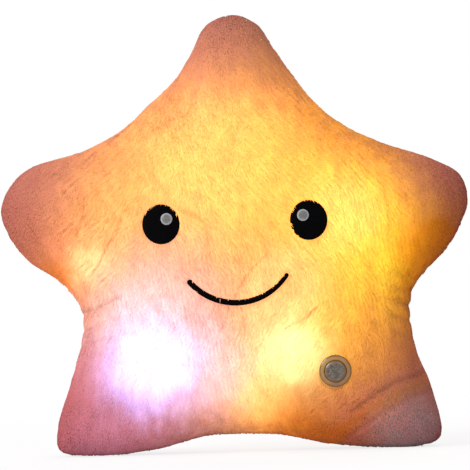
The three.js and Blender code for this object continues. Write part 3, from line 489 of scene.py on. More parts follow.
# Shader node groups.
class Wires:
    """Short ways to add and join the nodes of one tree."""

    def __init__(self, tree):
        self.tree = tree

    def add(self, kind, **settings):
        """A new node with its settings."""
        node = self.tree.nodes.new("ShaderNode" + kind)
        for name, value in settings.items():
            setattr(node, name, value)
        return node

    def feed(self, node, **values):
        """Sets or links inputs by name, with underscores for spaces; a number in the name is an index."""
        for name, value in values.items():
            key = int(name[1:]) if name[1:].isdigit() and name[0] == "i" else name.replace("_", " ")
            socket = node.inputs[key]
            if isinstance(value, bpy.types.NodeSocket):
                self.tree.links.new(value, socket)
            else:
                socket.default_value = value
        return node

    def feed_all(self, node, values, **named):
        """Sets or links the first inputs in turn, and others by name."""
        turns = {f"i{i}": value for i, value in enumerate(values)}
        return self.feed(node, **turns, **named)

    def maths(self, operation, *values, clamp=False):
        """A sum, product or other operation on numbers."""
        return self.feed_all(self.add("Math", operation=operation, use_clamp=clamp), values).outputs[0]

    def vector(self, operation, *values, **named):
        """An operation on vectors: a number for a distance or a length, else a vector."""
        node = self.feed_all(self.add("VectorMath", operation=operation), values, **named)
        return node.outputs["Value" if operation in ("DISTANCE", "LENGTH") else "Vector"]

    def mix(self, factor, a, b, blend="MIX"):
        """One colour turning into another as the factor goes from 0 to 1."""
        node = self.add("Mix", data_type="RGBA", blend_type=blend)
        return self.feed(node, i0=factor, i6=a, i7=b).outputs[2]

    def place(self):
        """The place on the object."""
        return self.add("TexCoord").outputs["Object"]

    def parts(self, vector):
        """A vector's parts X, Y and Z."""
        return self.feed(self.add("SeparateXYZ"), i0=vector).outputs

    def noise(self, scale, detail=2.0, roughness=0.5, stretch=None, output="Fac"):
        """Soft noise over the place, drawn out along a direction where its stretch is under 1."""
        place = self.place()
        if stretch:
            drawn_out = self.add("Mapping", vector_type="POINT")
            place = self.feed(drawn_out, Vector=place, Scale=stretch).outputs[0]
        node = self.add("TexNoise")
        return self.feed(node, Vector=place, Scale=scale, Detail=detail, Roughness=roughness).outputs[output]

    def spread(self, value, low, high, to_low=0.0, to_high=1.0):
        """A number taken from one range to another and held within it."""
        node = self.add("MapRange", clamp=True)
        return self.feed_all(node, (value, low, high, to_low, to_high)).outputs[0]

    def attribute(self, name):
        """A number that the mesh stores under a name."""
        return self.add("Attribute", attribute_name=name).outputs["Fac"]

    def group(self, tree, **values):
        """A node that uses a group."""
        node = self.add("Group")
        node.node_tree = tree
        return self.feed(node, **values)


def new_group(name, inputs, outputs):
    """An empty shader node group with sockets of given kinds, its wires, its inputs and its end."""
    group = bpy.data.node_groups.new(name, "ShaderNodeTree")
    for way, sockets in (("INPUT", inputs), ("OUTPUT", outputs)):
        for socket_name, kind in sockets.items():
            group.interface.new_socket(socket_name, in_out=way, socket_type="NodeSocket" + kind)
    given, out = group.nodes.new("NodeGroupInput"), group.nodes.new("NodeGroupOutput")
    return group, Wires(group), given.outputs, out


def colour(red, green, blue):
    """A colour written in plain screen values from 0 to 255, as a shader's linear colour."""
    value = np.array([red, green, blue]) / 255.0
    linear = np.where(value <= 0.04045, value / 12.92, ((value + 0.055) / 1.055) ** 2.4)
    return (*linear.tolist(), 1.0)


def lamp_spot_group():
    """The light of one lamp through the filling: its colour over 1 + (distance / spread)^edge."""
    inputs = {"Place": "Vector", "Centre": "Vector", "Spread": "Float", "Edge": "Float", "Light": "Color"}
    group, w, given, out = new_group("lamp_spot", inputs, {"Light": "Color"})
    flat = w.vector("MULTIPLY", given["Place"], (1.0, 0.0, 1.0))
    ratio = w.maths("DIVIDE", w.vector("DISTANCE", flat, given["Centre"]), given["Spread"])
    fall = w.maths("DIVIDE", 1.0, w.maths("ADD", w.maths("POWER", ratio, given["Edge"]), 1.0))
    w.feed(out, Light=w.vector("SCALE", given["Light"], Scale=fall))
    return group


# The light of the five lamps as it comes through the filling: where each part of it is across and up in
# metres, how far it spreads, how sharply it ends, and its colour. The white lamp spreads unevenly in four
# parts, and the yellow lamps share one wide warm glow. Most of the numbers stand as a least-squares fit to
# the photograph gave them, and the others were set one by one.
LIGHTS = {
    "white_core": (-0.0726, 0.071, 0.0318, 4.5, (0.443, 0.65, 1.858)),
    "white_inner": (-0.0241, 0.0667, 0.0329, 4.5, (0.157, 0.21, 0.386)),
    "white_upper": (-0.0785, 0.1123, 0.0368, 4.5, (0.0, 0.245, 0.291)),
    "white_spill": (-0.0552, 0.1198, 0.0558, 4.5, (0.0, 0.0, 0.24)),
    "left_foot": (-0.116, 0.0139, 0.0284, 3.64, (0.125, 0.061, 0.105)),
    "lower_right": (0.0414, 0.0803, 0.0249, 4.5, (0.369, 0.733, 0.381)),
    "chin": (0.0396, 0.1334, 0.0329, 4.5, (0.417, 0.196, 0.133)),
    "belly": (0.015, 0.041, 0.0235, 3.5, (0.64, 0.33, 0.056)),
    "right_foot": (0.134, 0.0192, 0.03, 4.5, (0.0, 0.071, 0.088)),
    "right_tip": (0.162, 0.224, 0.027, 4.5, (0.0, 0.0, 0.026)),
    "right_flare": (0.1185, 0.146, 0.016, 3.5, (0.02, 0.215, 0.018)),
    "right_side": (0.1175, 0.118, 0.015, 3.5, (0.0, 0.04, 0.0)),
    "right": (0.0875, 0.189, 0.0301, 4.5, (0.418, 0.0, 0.108)),
    "right_arm": (0.1014, 0.1881, 0.0428, 4.5, (0.764, 0.441, 0.0)),
    "right_cheek": (0.0884, 0.0957, 0.0444, 4.5, (0.181, 0.097, 0.0)),
    "left": (-0.1191, 0.1556, 0.0162, 3.41, (1.24, 0.414, 0.176)),
    "top": (-0.1083, 0.3102, 0.1394, 7.5, (0.095, 0.084, 0.068)),
    "brow": (-0.0028, 0.2296, 0.0613, 4.5, (0.754, 0.24, 0.063)),
    "warm_all_over": (-0.0056, 0.1656, 0.1318, 7.5, (0.677, 0.399, 0.0)),
    "red_reach": (-0.0142, 0.1483, 0.159, 7.5, (0.156, 0.0, 0.0)),
}


def glow_group():
    """All the lamps' light at a place, brighter and darker along the lie of the pile, and drawn out into
    tongues where it ends, because parted fur lets more of it through."""
    group, w, given, out = new_group("glow", {"Strength": "Float"}, {"Light": "Color"})
    parted = w.noise(110.0, 1.5, 0.5, (1.0, 1.0, 0.38), "Color")
    shift = w.vector("MULTIPLY_ADD", parted, (0.012, 0.0, 0.020), (-0.006, 0.0, -0.010))
    bent, total = w.vector("ADD", w.place(), shift), (0.0, 0.0, 0.0)
    for across, up, spread, edge, light in LIGHTS.values():
        lamp = {"Centre": (across, 0.0, up), "Spread": spread, "Edge": edge, "Light": (*light, 1.0)}
        total = w.vector("ADD", total, w.group(LAMP_SPOT, Place=bent, **lamp).outputs["Light"])
    uneven = w.spread(w.noise(55.0, 3.0, 0.6, (1.0, 1.0, 0.45)), 0.3, 0.7, 0.86, 1.1)
    w.feed(out, Light=w.vector("SCALE", total, Scale=w.maths("MULTIPLY", uneven, given["Strength"])))
    return group


def grain_group():
    """Fine mottling of a moulded, coated or rolled surface: a colour, a roughness and a height that vary."""
    inputs = {"Colour": "Color", "Scale": "Float", "Mottle": "Float", "Roughness": "Float"}
    outputs = {"Colour": "Color", "Roughness": "Float", "Height": "Float"}
    group, w, given, out = new_group("grain", inputs, outputs)
    fine = w.noise(given["Scale"], 4.0, 0.6)
    broad = w.noise(w.maths("MULTIPLY", given["Scale"], 0.12), 3.0)
    centred = w.maths("SUBTRACT", w.maths("MULTIPLY_ADD", fine, 0.5, w.maths("MULTIPLY", broad, 0.5)), 0.5)
    level = w.maths("MULTIPLY_ADD", centred, w.maths("MULTIPLY", given["Mottle"], 4.0), 1.0)
    rough = w.maths("MULTIPLY_ADD", centred, 0.35, given["Roughness"], clamp=True)
    w.feed(out, Colour=w.vector("SCALE", given["Colour"], Scale=level), Roughness=rough, Height=fine)
    return group


def weave_group():
    """A plain weave: two sets of crossing waves, one over the other in turn."""
    inputs, outputs = {"Colour": "Color", "Threads": "Float"}, {"Colour": "Color", "Height": "Float"}
    group, w, given, out = new_group("weave", inputs, outputs)
    turns, split = w.maths("MULTIPLY", given["Threads"], np.pi), w.parts(w.place())
    waves = [w.maths("SINE", w.maths("MULTIPLY", split[axis], turns)) for axis in ("X", "Z")]
    height = w.maths("MULTIPLY_ADD", w.maths("MULTIPLY", *waves), 0.5, 0.5)
    fluff = w.spread(w.noise(900.0, 3.0), 0.3, 0.7, 0.85, 1.12)
    # Painted shade: the colour is darker where the weave lies low, between the raised threads.
    level = w.maths("MULTIPLY", w.maths("MULTIPLY_ADD", height, 0.35, 0.75), fluff)
    w.feed(out, Colour=w.vector("SCALE", given["Colour"], Scale=level), Height=height)
    return group


LAMP_SPOT = lamp_spot_group()
GLOW, GRAIN, WEAVE = glow_group(), grain_group(), weave_group()


# Materials.
def new_material(name, **constants):
    """A material with its shader's constants set on the shader's own sockets."""
    material = bpy.data.materials.new(name)
    material.use_nodes = True
    shader = material.node_tree.nodes["Principled BSDF"]
    w = Wires(material.node_tree)
    w.feed(shader, **constants)
    return material, shader, w


def bumped(w, shader, height, strength, distance):
    """Links a height to the shader's normal."""
    bump = w.feed(w.add("Bump"), Height=height, Strength=strength, Distance=distance)
    w.feed(shader, Normal=bump.outputs[0])


def lit(material, shader, w, strength, amber=0.0):
    """Shows the lamps' light on a surface, turned amber as told. The surface isn't sampled as a lamp."""
    light = w.group(GLOW, Strength=strength).outputs["Light"]
    light = w.mix(amber, light, AMBER_LIGHT, "MULTIPLY")
    w.feed(shader, Emission_Color=light, Emission_Strength=1.0)
    material.cycles.emission_sampling = "NONE"


# Pile colours: roots and low tones, darker with painted shade; paler tips; and an amber of painted lamp
# light.
PILE_SHADE, PILE_TIP, PAINTED_AMBER_LIGHT = colour(138, 63, 62), colour(165, 78, 77), colour(144, 58, 18)
AMBER_LIGHT = (1.0, 0.78, 0.5, 1.0)


def pile_material():
    """Dusty pink fibres, paler at their tips, painted with shade at their roots, lit by the lamps inside,
    each a little different.
    """
    material, shader, w = new_material("plush_pile", Roughness=0.8, Specular_IOR_Level=0.1)
    tip, tone, amber = (w.attribute(name) for name in ("tip", "tone", "amber"))
    # Painted shade and light: darker at the roots and in low tones, and amber where the lamps' light is
    # amber.
    level = w.maths("MULTIPLY_ADD", tip, 0.45, w.maths("MULTIPLY", tone, 0.55), clamp=True)
    w.feed(shader, Base_Color=w.mix(amber, w.mix(level, PILE_SHADE, PILE_TIP), PAINTED_AMBER_LIGHT))
    strength = w.maths("MULTIPLY_ADD", tip, 0.14, w.maths("MULTIPLY_ADD", tone, 0.6, 0.56))
    lit(material, shader, w, strength, amber)
    return material


def backing_material():
    """The knitted ground of the plush, seen only between the fibres."""
    material, shader, w = new_material("plush_backing", Roughness=0.85)
    ground = w.noise(900.0, 3.0, 0.6, (1.0, 1.0, 0.35))
    w.feed(shader, Base_Color=w.mix(ground, colour(140, 64, 62), colour(168, 82, 80)))
    lit(material, shader, w, w.spread(ground, 0.3, 0.7, 0.55, 0.95))
    bumped(w, shader, ground, 0.5, 0.0006)
    return material


def thread_material(name, dark, light, shine):
    """Satin-stitched thread: two close shades laid side by side along the threads, with a soft shine."""
    material, shader, w = new_material(name, Roughness=shine, Specular_IOR_Level=0.02)
    lines = w.noise(2600.0, 2.0, 0.6, (0.12, 1.0, 1.0))
    w.feed(shader, Base_Color=w.mix(w.spread(lines, 0.3, 0.7), dark, light))
    bumped(w, shader, lines, 0.5, 0.0003)
    return material


def highlight_material():
    """The grey thread of the eyes' highlights, paler round its rim."""
    material, shader, w = new_material("highlight_thread", Roughness=0.5, Specular_IOR_Level=0.2)
    lines = w.noise(1700.0, 2.0, 0.6, (1.0, 1.0, 0.25))
    body = w.mix(w.spread(lines, 0.35, 0.65), colour(84, 84, 84), colour(116, 116, 116))
    rim = w.spread(w.attribute("rim"), 0.62, 0.92)
    w.feed(shader, Base_Color=w.mix(rim, body, colour(150, 147, 150)))
    bumped(w, shader, lines, 0.5, 0.0003)
    return material


def grained(name, tint, roughness, scale=400.0, mottle=0.08, bump=0.15, **constants):
    """A moulded plastic, metal or board with fine grain in colour, gloss and relief."""
    material, shader, w = new_material(name, **constants)
    grain = w.group(GRAIN, Colour=tint, Scale=scale, Mottle=mottle, Roughness=roughness).outputs
    w.feed(shader, Base_Color=grain["Colour"], Roughness=grain["Roughness"])
    bumped(w, shader, grain["Height"], bump, 0.0002)
    return material


def woven(name, tint, threads):
    """A woven tape or cloth."""
    material, shader, w = new_material(name, Roughness=0.8, Sheen_Weight=0.15)
    cloth = w.group(WEAVE, Colour=tint, Threads=threads).outputs
    w.feed(shader, Base_Color=cloth["Colour"])
    bumped(w, shader, cloth["Height"], 0.5, 0.0003)
    return material


def filling_material():
    """White polyester fibre, tangled and slightly matted."""
    material, shader, w = new_material("polyester_filling", Roughness=0.9, Sheen_Weight=0.3)
    tangle = w.noise(160.0, 6.0, 0.7)
    w.feed(shader, Base_Color=w.mix(w.spread(tangle, 0.3, 0.7), colour(205, 205, 202), colour(245, 245, 242)))
    bumped(w, shader, tangle, 0.8, 0.002)
    return material


def ring_material():
    """The button's smoky clear ring, lit a little from inside, darker at its outer edge and with painted
    light warming its upper left.
    """
    constants = {"Transmission_Weight": 0.25, "IOR": 1.49, "Roughness": 0.16, "Coat_Weight": 0.4}
    material, shader, w = new_material("clear_ring", **constants)
    inner = w.spread(w.attribute("rim"), 0.88, 0.97, 1.0, 0.0)
    cloud = w.spread(w.noise(240.0, 3.0), 0.3, 0.7, 0.86, 1.1)
    split = w.parts(w.place())
    # Painted light: the colour is warmer and lighter towards the upper left, the side that the lamps' light
    # reaches.
    lit_side = w.spread(w.maths("SUBTRACT", split["Z"], split["X"]), -0.028, 0.002)
    tint = w.mix(lit_side, colour(88, 60, 54), colour(112, 72, 28))
    grain = w.group(GRAIN, Colour=tint, Scale=300.0, Mottle=0.08, Roughness=0.16)
    w.feed(shader, Base_Color=w.mix(inner, colour(84, 50, 20), grain.outputs["Colour"]))
    lit(material, shader, w, w.maths("MULTIPLY", w.maths("MULTIPLY_ADD", inner, 0.22, 0.04), cloud))
    return material


def cap_material():
    """The button's grey cap: cloudy moulded plastic, scuffed lighter in places, warm brown towards its edge
    with painted light from the glowing ring, under a thin gloss."""
    material, shader, w = new_material("cap_plastic", Coat_Weight=0.5, Coat_Roughness=0.15)
    cloud = w.spread(w.noise(300.0, 3.0, 0.6), 0.32, 0.68)
    scuff = w.spread(w.noise(420.0, 4.0, 0.6, (1.0, 1.0, 2.0)), 0.52, 0.72)
    body = w.mix(cloud, colour(44, 38, 30), colour(92, 82, 70))
    from_middle = w.vector("DISTANCE", w.place(), (button_centre * MM).tolist())
    # Painted light from the glowing ring: the colour turns warm brown towards the cap's edge.
    painted_ring_light = w.spread(from_middle, 0.0058, 0.0088, 0.0, 0.75)
    scuffed = w.mix(scuff, body, colour(128, 118, 108))
    w.feed(shader, Base_Color=w.mix(painted_ring_light, scuffed, colour(108, 74, 46)))
    w.feed(shader, Roughness=w.spread(cloud, 0.0, 1.0, 0.3, 0.45))
    bumped(w, shader, cloud, 0.35, 0.0004)
    return material


PILE = pile_material()
PLUSH_BACKING = backing_material()
FILLING = filling_material()
BLACK_THREAD = thread_material("black_thread", colour(0, 0, 1), colour(4, 4, 5), 0.5)
SEAM_THREAD = thread_material("seam_thread", colour(150, 92, 96), colour(184, 124, 126), 0.6)
HIGHLIGHT = highlight_material()
TAPE = woven("zip_tape_cloth", colour(214, 150, 150), 1400.0)
POUCH = woven("pouch_cloth", colour(205, 200, 196), 900.0)
NYLON = grained("nylon_coil", colour(226, 170, 168), 0.38, 900.0, 0.06)
SLIDER_METAL = grained("slider_metal", colour(168, 168, 172), 0.28, 700.0, 0.1, 0.12, Metallic=1.0)
STEEL = grained("spring_steel", colour(190, 190, 194), 0.25, 900.0, 0.08, 0.1, Metallic=1.0)
WHITE_PLASTIC = grained("white_plastic", colour(226, 226, 222), 0.42, 500.0, 0.04)
CELL_SLEEVE = grained("cell_sleeve", colour(58, 92, 84), 0.32, 300.0, 0.08)
BOARD = grained("board_green", colour(34, 96, 58), 0.38, 700.0, 0.15)
CHIP = grained("chip_black", colour(28, 28, 30), 0.5, 900.0, 0.1)
LEAD = grained("lead_sheath", colour(190, 40, 38), 0.45, 600.0, 0.06)
RING_PLASTIC = ring_material()
CAP_PLASTIC = cap_material()
LENS = grained("lamp_lens", colour(240, 240, 236), 0.1, 300.0, 0.03, 0.05, Transmission_Weight=0.8, IOR=1.5)


# The covers of the body, each a thin shell, and the filling in them.
def cut_by(piece, cutters):
    """Cuts solid shapes out of a piece and removes them."""
    for corners, face_sets in cutters:
        tool = mesh_piece("cutter", corners, face_sets, PLUSH_BACKING)
        modifier = piece.modifiers.new("opening", "BOOLEAN")
        modifier.operation, modifier.solver, modifier.object = "DIFFERENCE", "EXACT", tool
        with bpy.context.temp_override(object=piece, active_object=piece):
            bpy.ops.object.modifier_apply(modifier="opening")
        bpy.data.objects.remove(tool)


def rounded_slot(length, width, y0, y1, sides=12):
    """A slot with round ends along X, through the cover from y0 to y1."""
    angle = np.linspace(-np.pi / 2, np.pi / 2, sides)
    half = length / 2 - width / 2
    right = np.stack([half + np.cos(angle) * width / 2, np.sin(angle) * width / 2], -1)
    loop = np.concatenate([right, -right]) + [0.0, ZIP_HEIGHT]
    return stack(np.stack([np.insert(loop, 1, y, axis=1) for y in (y0, y1)]))


def cover(name, side, node, cutters):
    """One plush cover: the surface under the pile, and the same form moved in by the backing's thickness."""
    outer = cover_rows(side, PILE_DEPTH)
    inner = cover_rows(side, PILE_DEPTH + BACKING)
    piece = mesh_piece(name, *stack(np.concatenate([outer, inner[::-1]])), PLUSH_BACKING, "plush")
    cut_by(piece, cutters)
    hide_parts(node)
    return outer


def softened(name, node, material, width=0.0, body="star"):
    """A copy of a solid's mesh with its corners merged, its edges rounded and its faces smoothed."""
    merge_gap, flat_angle, edge_angle = 1e-5, np.radians(2.0), np.radians(35.0)
    mesh = nodes[node].data.copy()
    work = bmesh.new()
    work.from_mesh(mesh)
    bmesh.ops.remove_doubles(work, verts=work.verts, dist=merge_gap)
    bmesh.ops.dissolve_limit(work, angle_limit=flat_angle, verts=work.verts, edges=work.edges)
    work.to_mesh(mesh)
    work.free()
    mesh.materials.clear()
    mesh.materials.append(material)
    piece = bpy.data.objects.new(name, mesh)
    bpy.context.scene.collection.objects.link(piece)
    if width:
        bevel = piece.modifiers.new("rounded", "BEVEL")
        bevel.width, bevel.segments, bevel.limit_method = width * MM, 2, "ANGLE"
        bevel.angle_limit, bevel.harden_normals = edge_angle, True
    mesh.polygons.foreach_set("use_smooth", np.ones(len(mesh.polygons), bool))
    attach(piece, body)
    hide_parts(node)
    return piece


def seam_stitching():
    """The sewn edge that joins the covers: a thread carried round the outline, thicker at every stitch."""
    inset, lowest, radius, flatness, swelling = 3.4, 1.6, 1.3, 0.8, 0.12
    inward = -np.insert(SPOKES, 1, 0.0, axis=1) / REACH[:, None]
    path = np.insert(OUTLINE, 1, 0.0, axis=1) + inward * (inset / LEAN)[:, None]
    path[:, 2] = np.maximum(path[:, 2], lowest)
    stitches = 1.0 + swelling * np.cos(np.arange(OUTLINE_TURNS) * 2 * np.pi / 3)
    across = np.tile([0.0, 1.0, 0.0], (OUTLINE_TURNS, 1))
    rings = swept(path, across, inward, circle(radius, 8, flatness), stitches)
    mesh_piece("seam_stitching", *stack(rings, closed=True), SEAM_THREAD, "plush")


seam_stitching()
bore = [(STEM_RADIUS + 0.3, -9.0), (STEM_RADIUS + 0.3, 20.0)]
front_rows = cover("front_cover", -1, "front_panel", [turned(bore, 32)])
back_rows = cover("back_cover", 1, "back_panel", [rounded_slot(SLOT_LENGTH, SLOT_WIDTH, 40.0, 70.0)])
for half in ("front", "back"):
    stuffing = softened(half + "_stuffing", half + "_filling", FILLING)


# The pile, as short fibres that lie along the fabric.
def distance_to_face(x, z):
    """Millimetres from a place to the nearest embroidery or to the button, less than 0 inside them."""
    gaps = []
    for across in (-EYE_ACROSS, EYE_ACROSS):
        ratio = np.hypot((x - across) / (EYE_WIDTH / 2), (z - EYE_HEIGHT) / (EYE_LENGTH / 2))
        gaps.append((ratio - 1) * EYE_WIDTH / 2)
    bearing = np.arctan2(z - MOUTH_MIDDLE, x) + np.pi / 2 - MOUTH_TURN
    bearing = np.mod(bearing + np.pi, 2 * np.pi) - np.pi
    held = np.clip(bearing, -MOUTH_SWEEP / 2, MOUTH_SWEEP / 2) - np.pi / 2 + MOUTH_TURN
    gap = np.hypot(x - MOUTH_RADIUS * np.cos(held), z - MOUTH_MIDDLE - MOUTH_RADIUS * np.sin(held))
    gaps.append(gap - MOUTH_STROKE / 2)
    gaps.append(np.hypot(x - BUTTON_X, z - BUTTON_Z) - BUTTON_RADIUS)
    return np.minimum.reduce(gaps)


def distance_to_zip(x, z):
    """Millimetres from a place to the zip's slot with a margin round it, less than 0 inside them."""
    margin = 0.4
    across = np.maximum(np.abs(x) - SLOT_LENGTH / 2, 0)
    up = np.maximum(np.abs(z - ZIP_HEIGHT) - SLOT_WIDTH / 2 - margin, 0)
    inside = np.minimum(SLOT_WIDTH / 2, np.abs(z - ZIP_HEIGHT)) - SLOT_WIDTH / 2
    return np.where(across + up > 0, np.hypot(across, up), inside - margin)


# The way the pile was last brushed: a place across and up, and its lean to the right of straight down.
BRUSHED = (
    (-125, 224, -36), (-94, 190, -26), (-125, 160, -30), (-60, 222, -12), (-27, 250, 20), (6, 222, 28),
    (38, 235, 48), (72, 250, 50), (135, 216, 40), (102, 185, 5), (134, 170, 6), (68, 153, 45), (100, 140, 30),
    (67, 110, -50), (98, 88, 10), (2, 150, 12), (-29, 156, 25), (34, 90, -20), (0, 60, 3), (98, 52, -30),
    (-126, 30, -12), (140, 30, 25), (-70, 110, -8),
)


def brushed_lean(x, z):
    """The pile's lean at a place: the mean of the brushed leans, each weighted by a bell round its place."""
    reach, total, weights = 28.0, 0.0, 1e-6
    for across, up, lean in BRUSHED:
        weight = np.exp(-((x - across) ** 2 + (z - up) ** 2) / reach**2)
        total, weights = total + weight * lean, weights + weight
    return np.radians(total / weights)


# Where the pile lies ruffled, its streaks of random tone and painted light and shade stronger: a place across
# and up and its radius.
RUFFLED = ((125.0, 175.0, 35.0), (-16.0, 90.0, 32.0), (88.0, 104.0, 22.0))

# Where the light comes through the pile amber: round spots, each a place across and up and its radius, and
# a band between the right foot's two creases.
AMBER_SPOTS = (
    (152.0, 148.0, 34.0), (164.0, 172.0, 14.0), (46.0, 14.0, 28.0), (-147.0, 146.0, 15.0), (72.0, 8.0, 10.0),
)
AMBER_BAND = ((74.0, 11.0), (146.0, 54.0), 6.0)


def amber_at(x, z, side):
    """How amber the lamps' light is at a place on the pile, 0 to 1, which also paints the pile's colour amber
    as painted light: each spot is 1 / (1 + (distance / radius)^4).
    """
    total = 0.75 * near_line(x, z, *AMBER_BAND) * (side < 0)
    for across, up, radius in AMBER_SPOTS:
        total = total + 1 / (1 + (np.hypot(x - across, z - up) / radius) ** 4)
    return np.minimum(total, 1)


# The bearings of the star's five points from its middle.
POINTS = {
    "top": np.pi / 2, "left_arm": np.radians(163), "left_foot": np.radians(233),
    "right_foot": np.radians(307), "right_arm": np.radians(17),
}

# The fibres, in millimetres: each has four faces between its root, two middle corners and its tip. Most
# stop at a gap from the face, the button or the zip, and the rest of the front's may lap over a little.
FIBRE_FACES = np.array([[0, 1, 2], [3, 2, 1], [0, 3, 1], [0, 2, 3]])
FIBRE_LENGTH = 5.6
FIBRE_WIDTHS = (0.45, 0.72)
STREAK_WIDTH = 3.4
STREAK_STEPS = (-7.5, -5.0, -2.5, 0.0, 2.5, 5.0, 7.5)
SHORT_SHARE = 0.93
FACE_GAP, FACE_OVERLAP = 0.15, 1.6
# Where the pile turns curly and straight again, going up, and where it lies flatter, at the points, by the
# distance from the middle, and at the feet, by the height.
CURLY_FROM, CURLY_TO = (212.0, 245.0), (282.0, 308.0)
POINTS_FROM, FEET_BELOW = (125.0, 168.0), (50.0, 85.0)


def evenly_scattered(rows, count, rng):
    """Places scattered evenly by area over a grid of rings, as a function that reads any such grid there."""
    across = np.roll(rows, -1, axis=1)[:-1] - rows[:-1]
    area = np.linalg.norm(np.cross(across, rows[1:] - rows[:-1]), axis=2)
    total = np.cumsum(area.ravel())
    picks = np.searchsorted(total, (np.arange(count) + rng.random(count)) / count * total[-1])
    i, j = np.unravel_index(np.minimum(picks, area.size - 1), area.shape)
    u, v = rng.random((2, count, 1))
    beside = (j + 1) % rows.shape[1]

    def between(grid):
        """The grid's values at the places, each a mean of its four neighbours weighted by nearness."""
        low = grid[i, j] * (1 - v) + grid[i, beside] * v
        return low * (1 - u) + (grid[i + 1, j] * (1 - v) + grid[i + 1, beside] * v) * u

    return between


def combed(x, z, normal, curly, seed, rng):
    """The way each fibre lies along the fabric: brushed_lean's way, turned by swirls of three lengths."""
    lean = brushed_lean(x, z)
    lay = np.stack([np.sin(lean), np.zeros(len(x)), -np.cos(lean)], -1)
    lay -= normal * np.einsum("ij,ij->i", lay, normal)[:, None]
    lay /= np.maximum(np.linalg.norm(lay, axis=1), 1e-6)[:, None]
    swirl = 0.26 * ripple(x, z, 30.0, seed + 3) + 0.38 * ripple(x, z, 12.0, seed + 4)
    swirl = swirl + 0.6 * curly * ripple(x, z, 7.0, seed + 6)
    swirl = swirl + 0.14 * rng.standard_normal(len(x))
    return lay * np.cos(swirl)[:, None] + np.cross(normal, lay) * np.sin(swirl)[:, None]


def length_kept(root, run, start, distance, allowed):
    """The share of each fibre that stays clear of the face or zip: it is cut back in proportion where a
    quarter, half, three quarters or all of its run would come nearer than allowed."""
    keep = np.ones(len(root))
    for part in (0.25, 0.5, 0.75, 1.0):
        reach = root + run(part)
        gap = distance(reach[:, 0], reach[:, 2])
        room = np.clip((start - allowed) / np.maximum(start - gap, 0.3), 0.12, 1) * part
        keep = np.where(gap < allowed, np.minimum(keep, room), keep)
    return keep


def tones(side, root, seen, streak, at_tip, seed, rng):
    """How light each fibre is, about 0 to 1: streaks along the pile, partly random tone and partly painted
    light and shade of the locks, stronger where it is ruffled and calm at the points; painted shade in folds,
    creases and gaps between locks, at the rim and on the underside; painted light in the amber band."""
    x, z = root[:, 0], root[:, 2]
    share, turn, _, _ = star_place(x, z)
    patch = np.clip(0.85 + 0.4 * ripple(x, z, 75.0, seed + 8), 0.3, 1.3)
    for across, up, radius in RUFFLED:
        patch = patch + 0.65 * np.exp(-((x - across) ** 2 + (z - up) ** 2) / radius**2)
    # Painted shade in the folds and creases, and less along the amber band, where painted light lifts the
    # tone.
    dark = folds_at(share, turn) * 0.22
    if side < 0:
        dark += np.minimum(0.6, 0.6 * creases_at(seen[:, 0], seen[:, 2]))
        dark -= 0.4 * near_line(x, z, *AMBER_BAND)
    even = 1 - 0.75 * at_tip
    # Painted shade in the gaps between locks.
    shade_between_locks = 0.3 * np.maximum(0, -streak - 0.55) ** 1.5
    tone = 0.36 * streak * patch - shade_between_locks + 0.13 * rng.standard_normal(len(x))
    tone = 0.53 + tone * even - dark
    tone = tone + (0.12 * ripple(x, z, 15.0, seed + 9) + 0.1 * ripple(x, z, 8.0, seed + 10)) * even
    # Painted shade at the rim, strongest on the underside, away from the light.
    under = UNDERSIDE[np.round(turn / len(OUTLINE_SHARES) * OUTLINE_TURNS).astype(int) % OUTLINE_TURNS]
    edge = 0.35 * smooth_step(share, 0.84, 0.96) + 0.75 * smooth_step(share, 0.94, 0.985)
    return np.clip(tone, -0.35, 1) - under * edge - 0.35 * smooth_step(share, 0.965, 0.985)


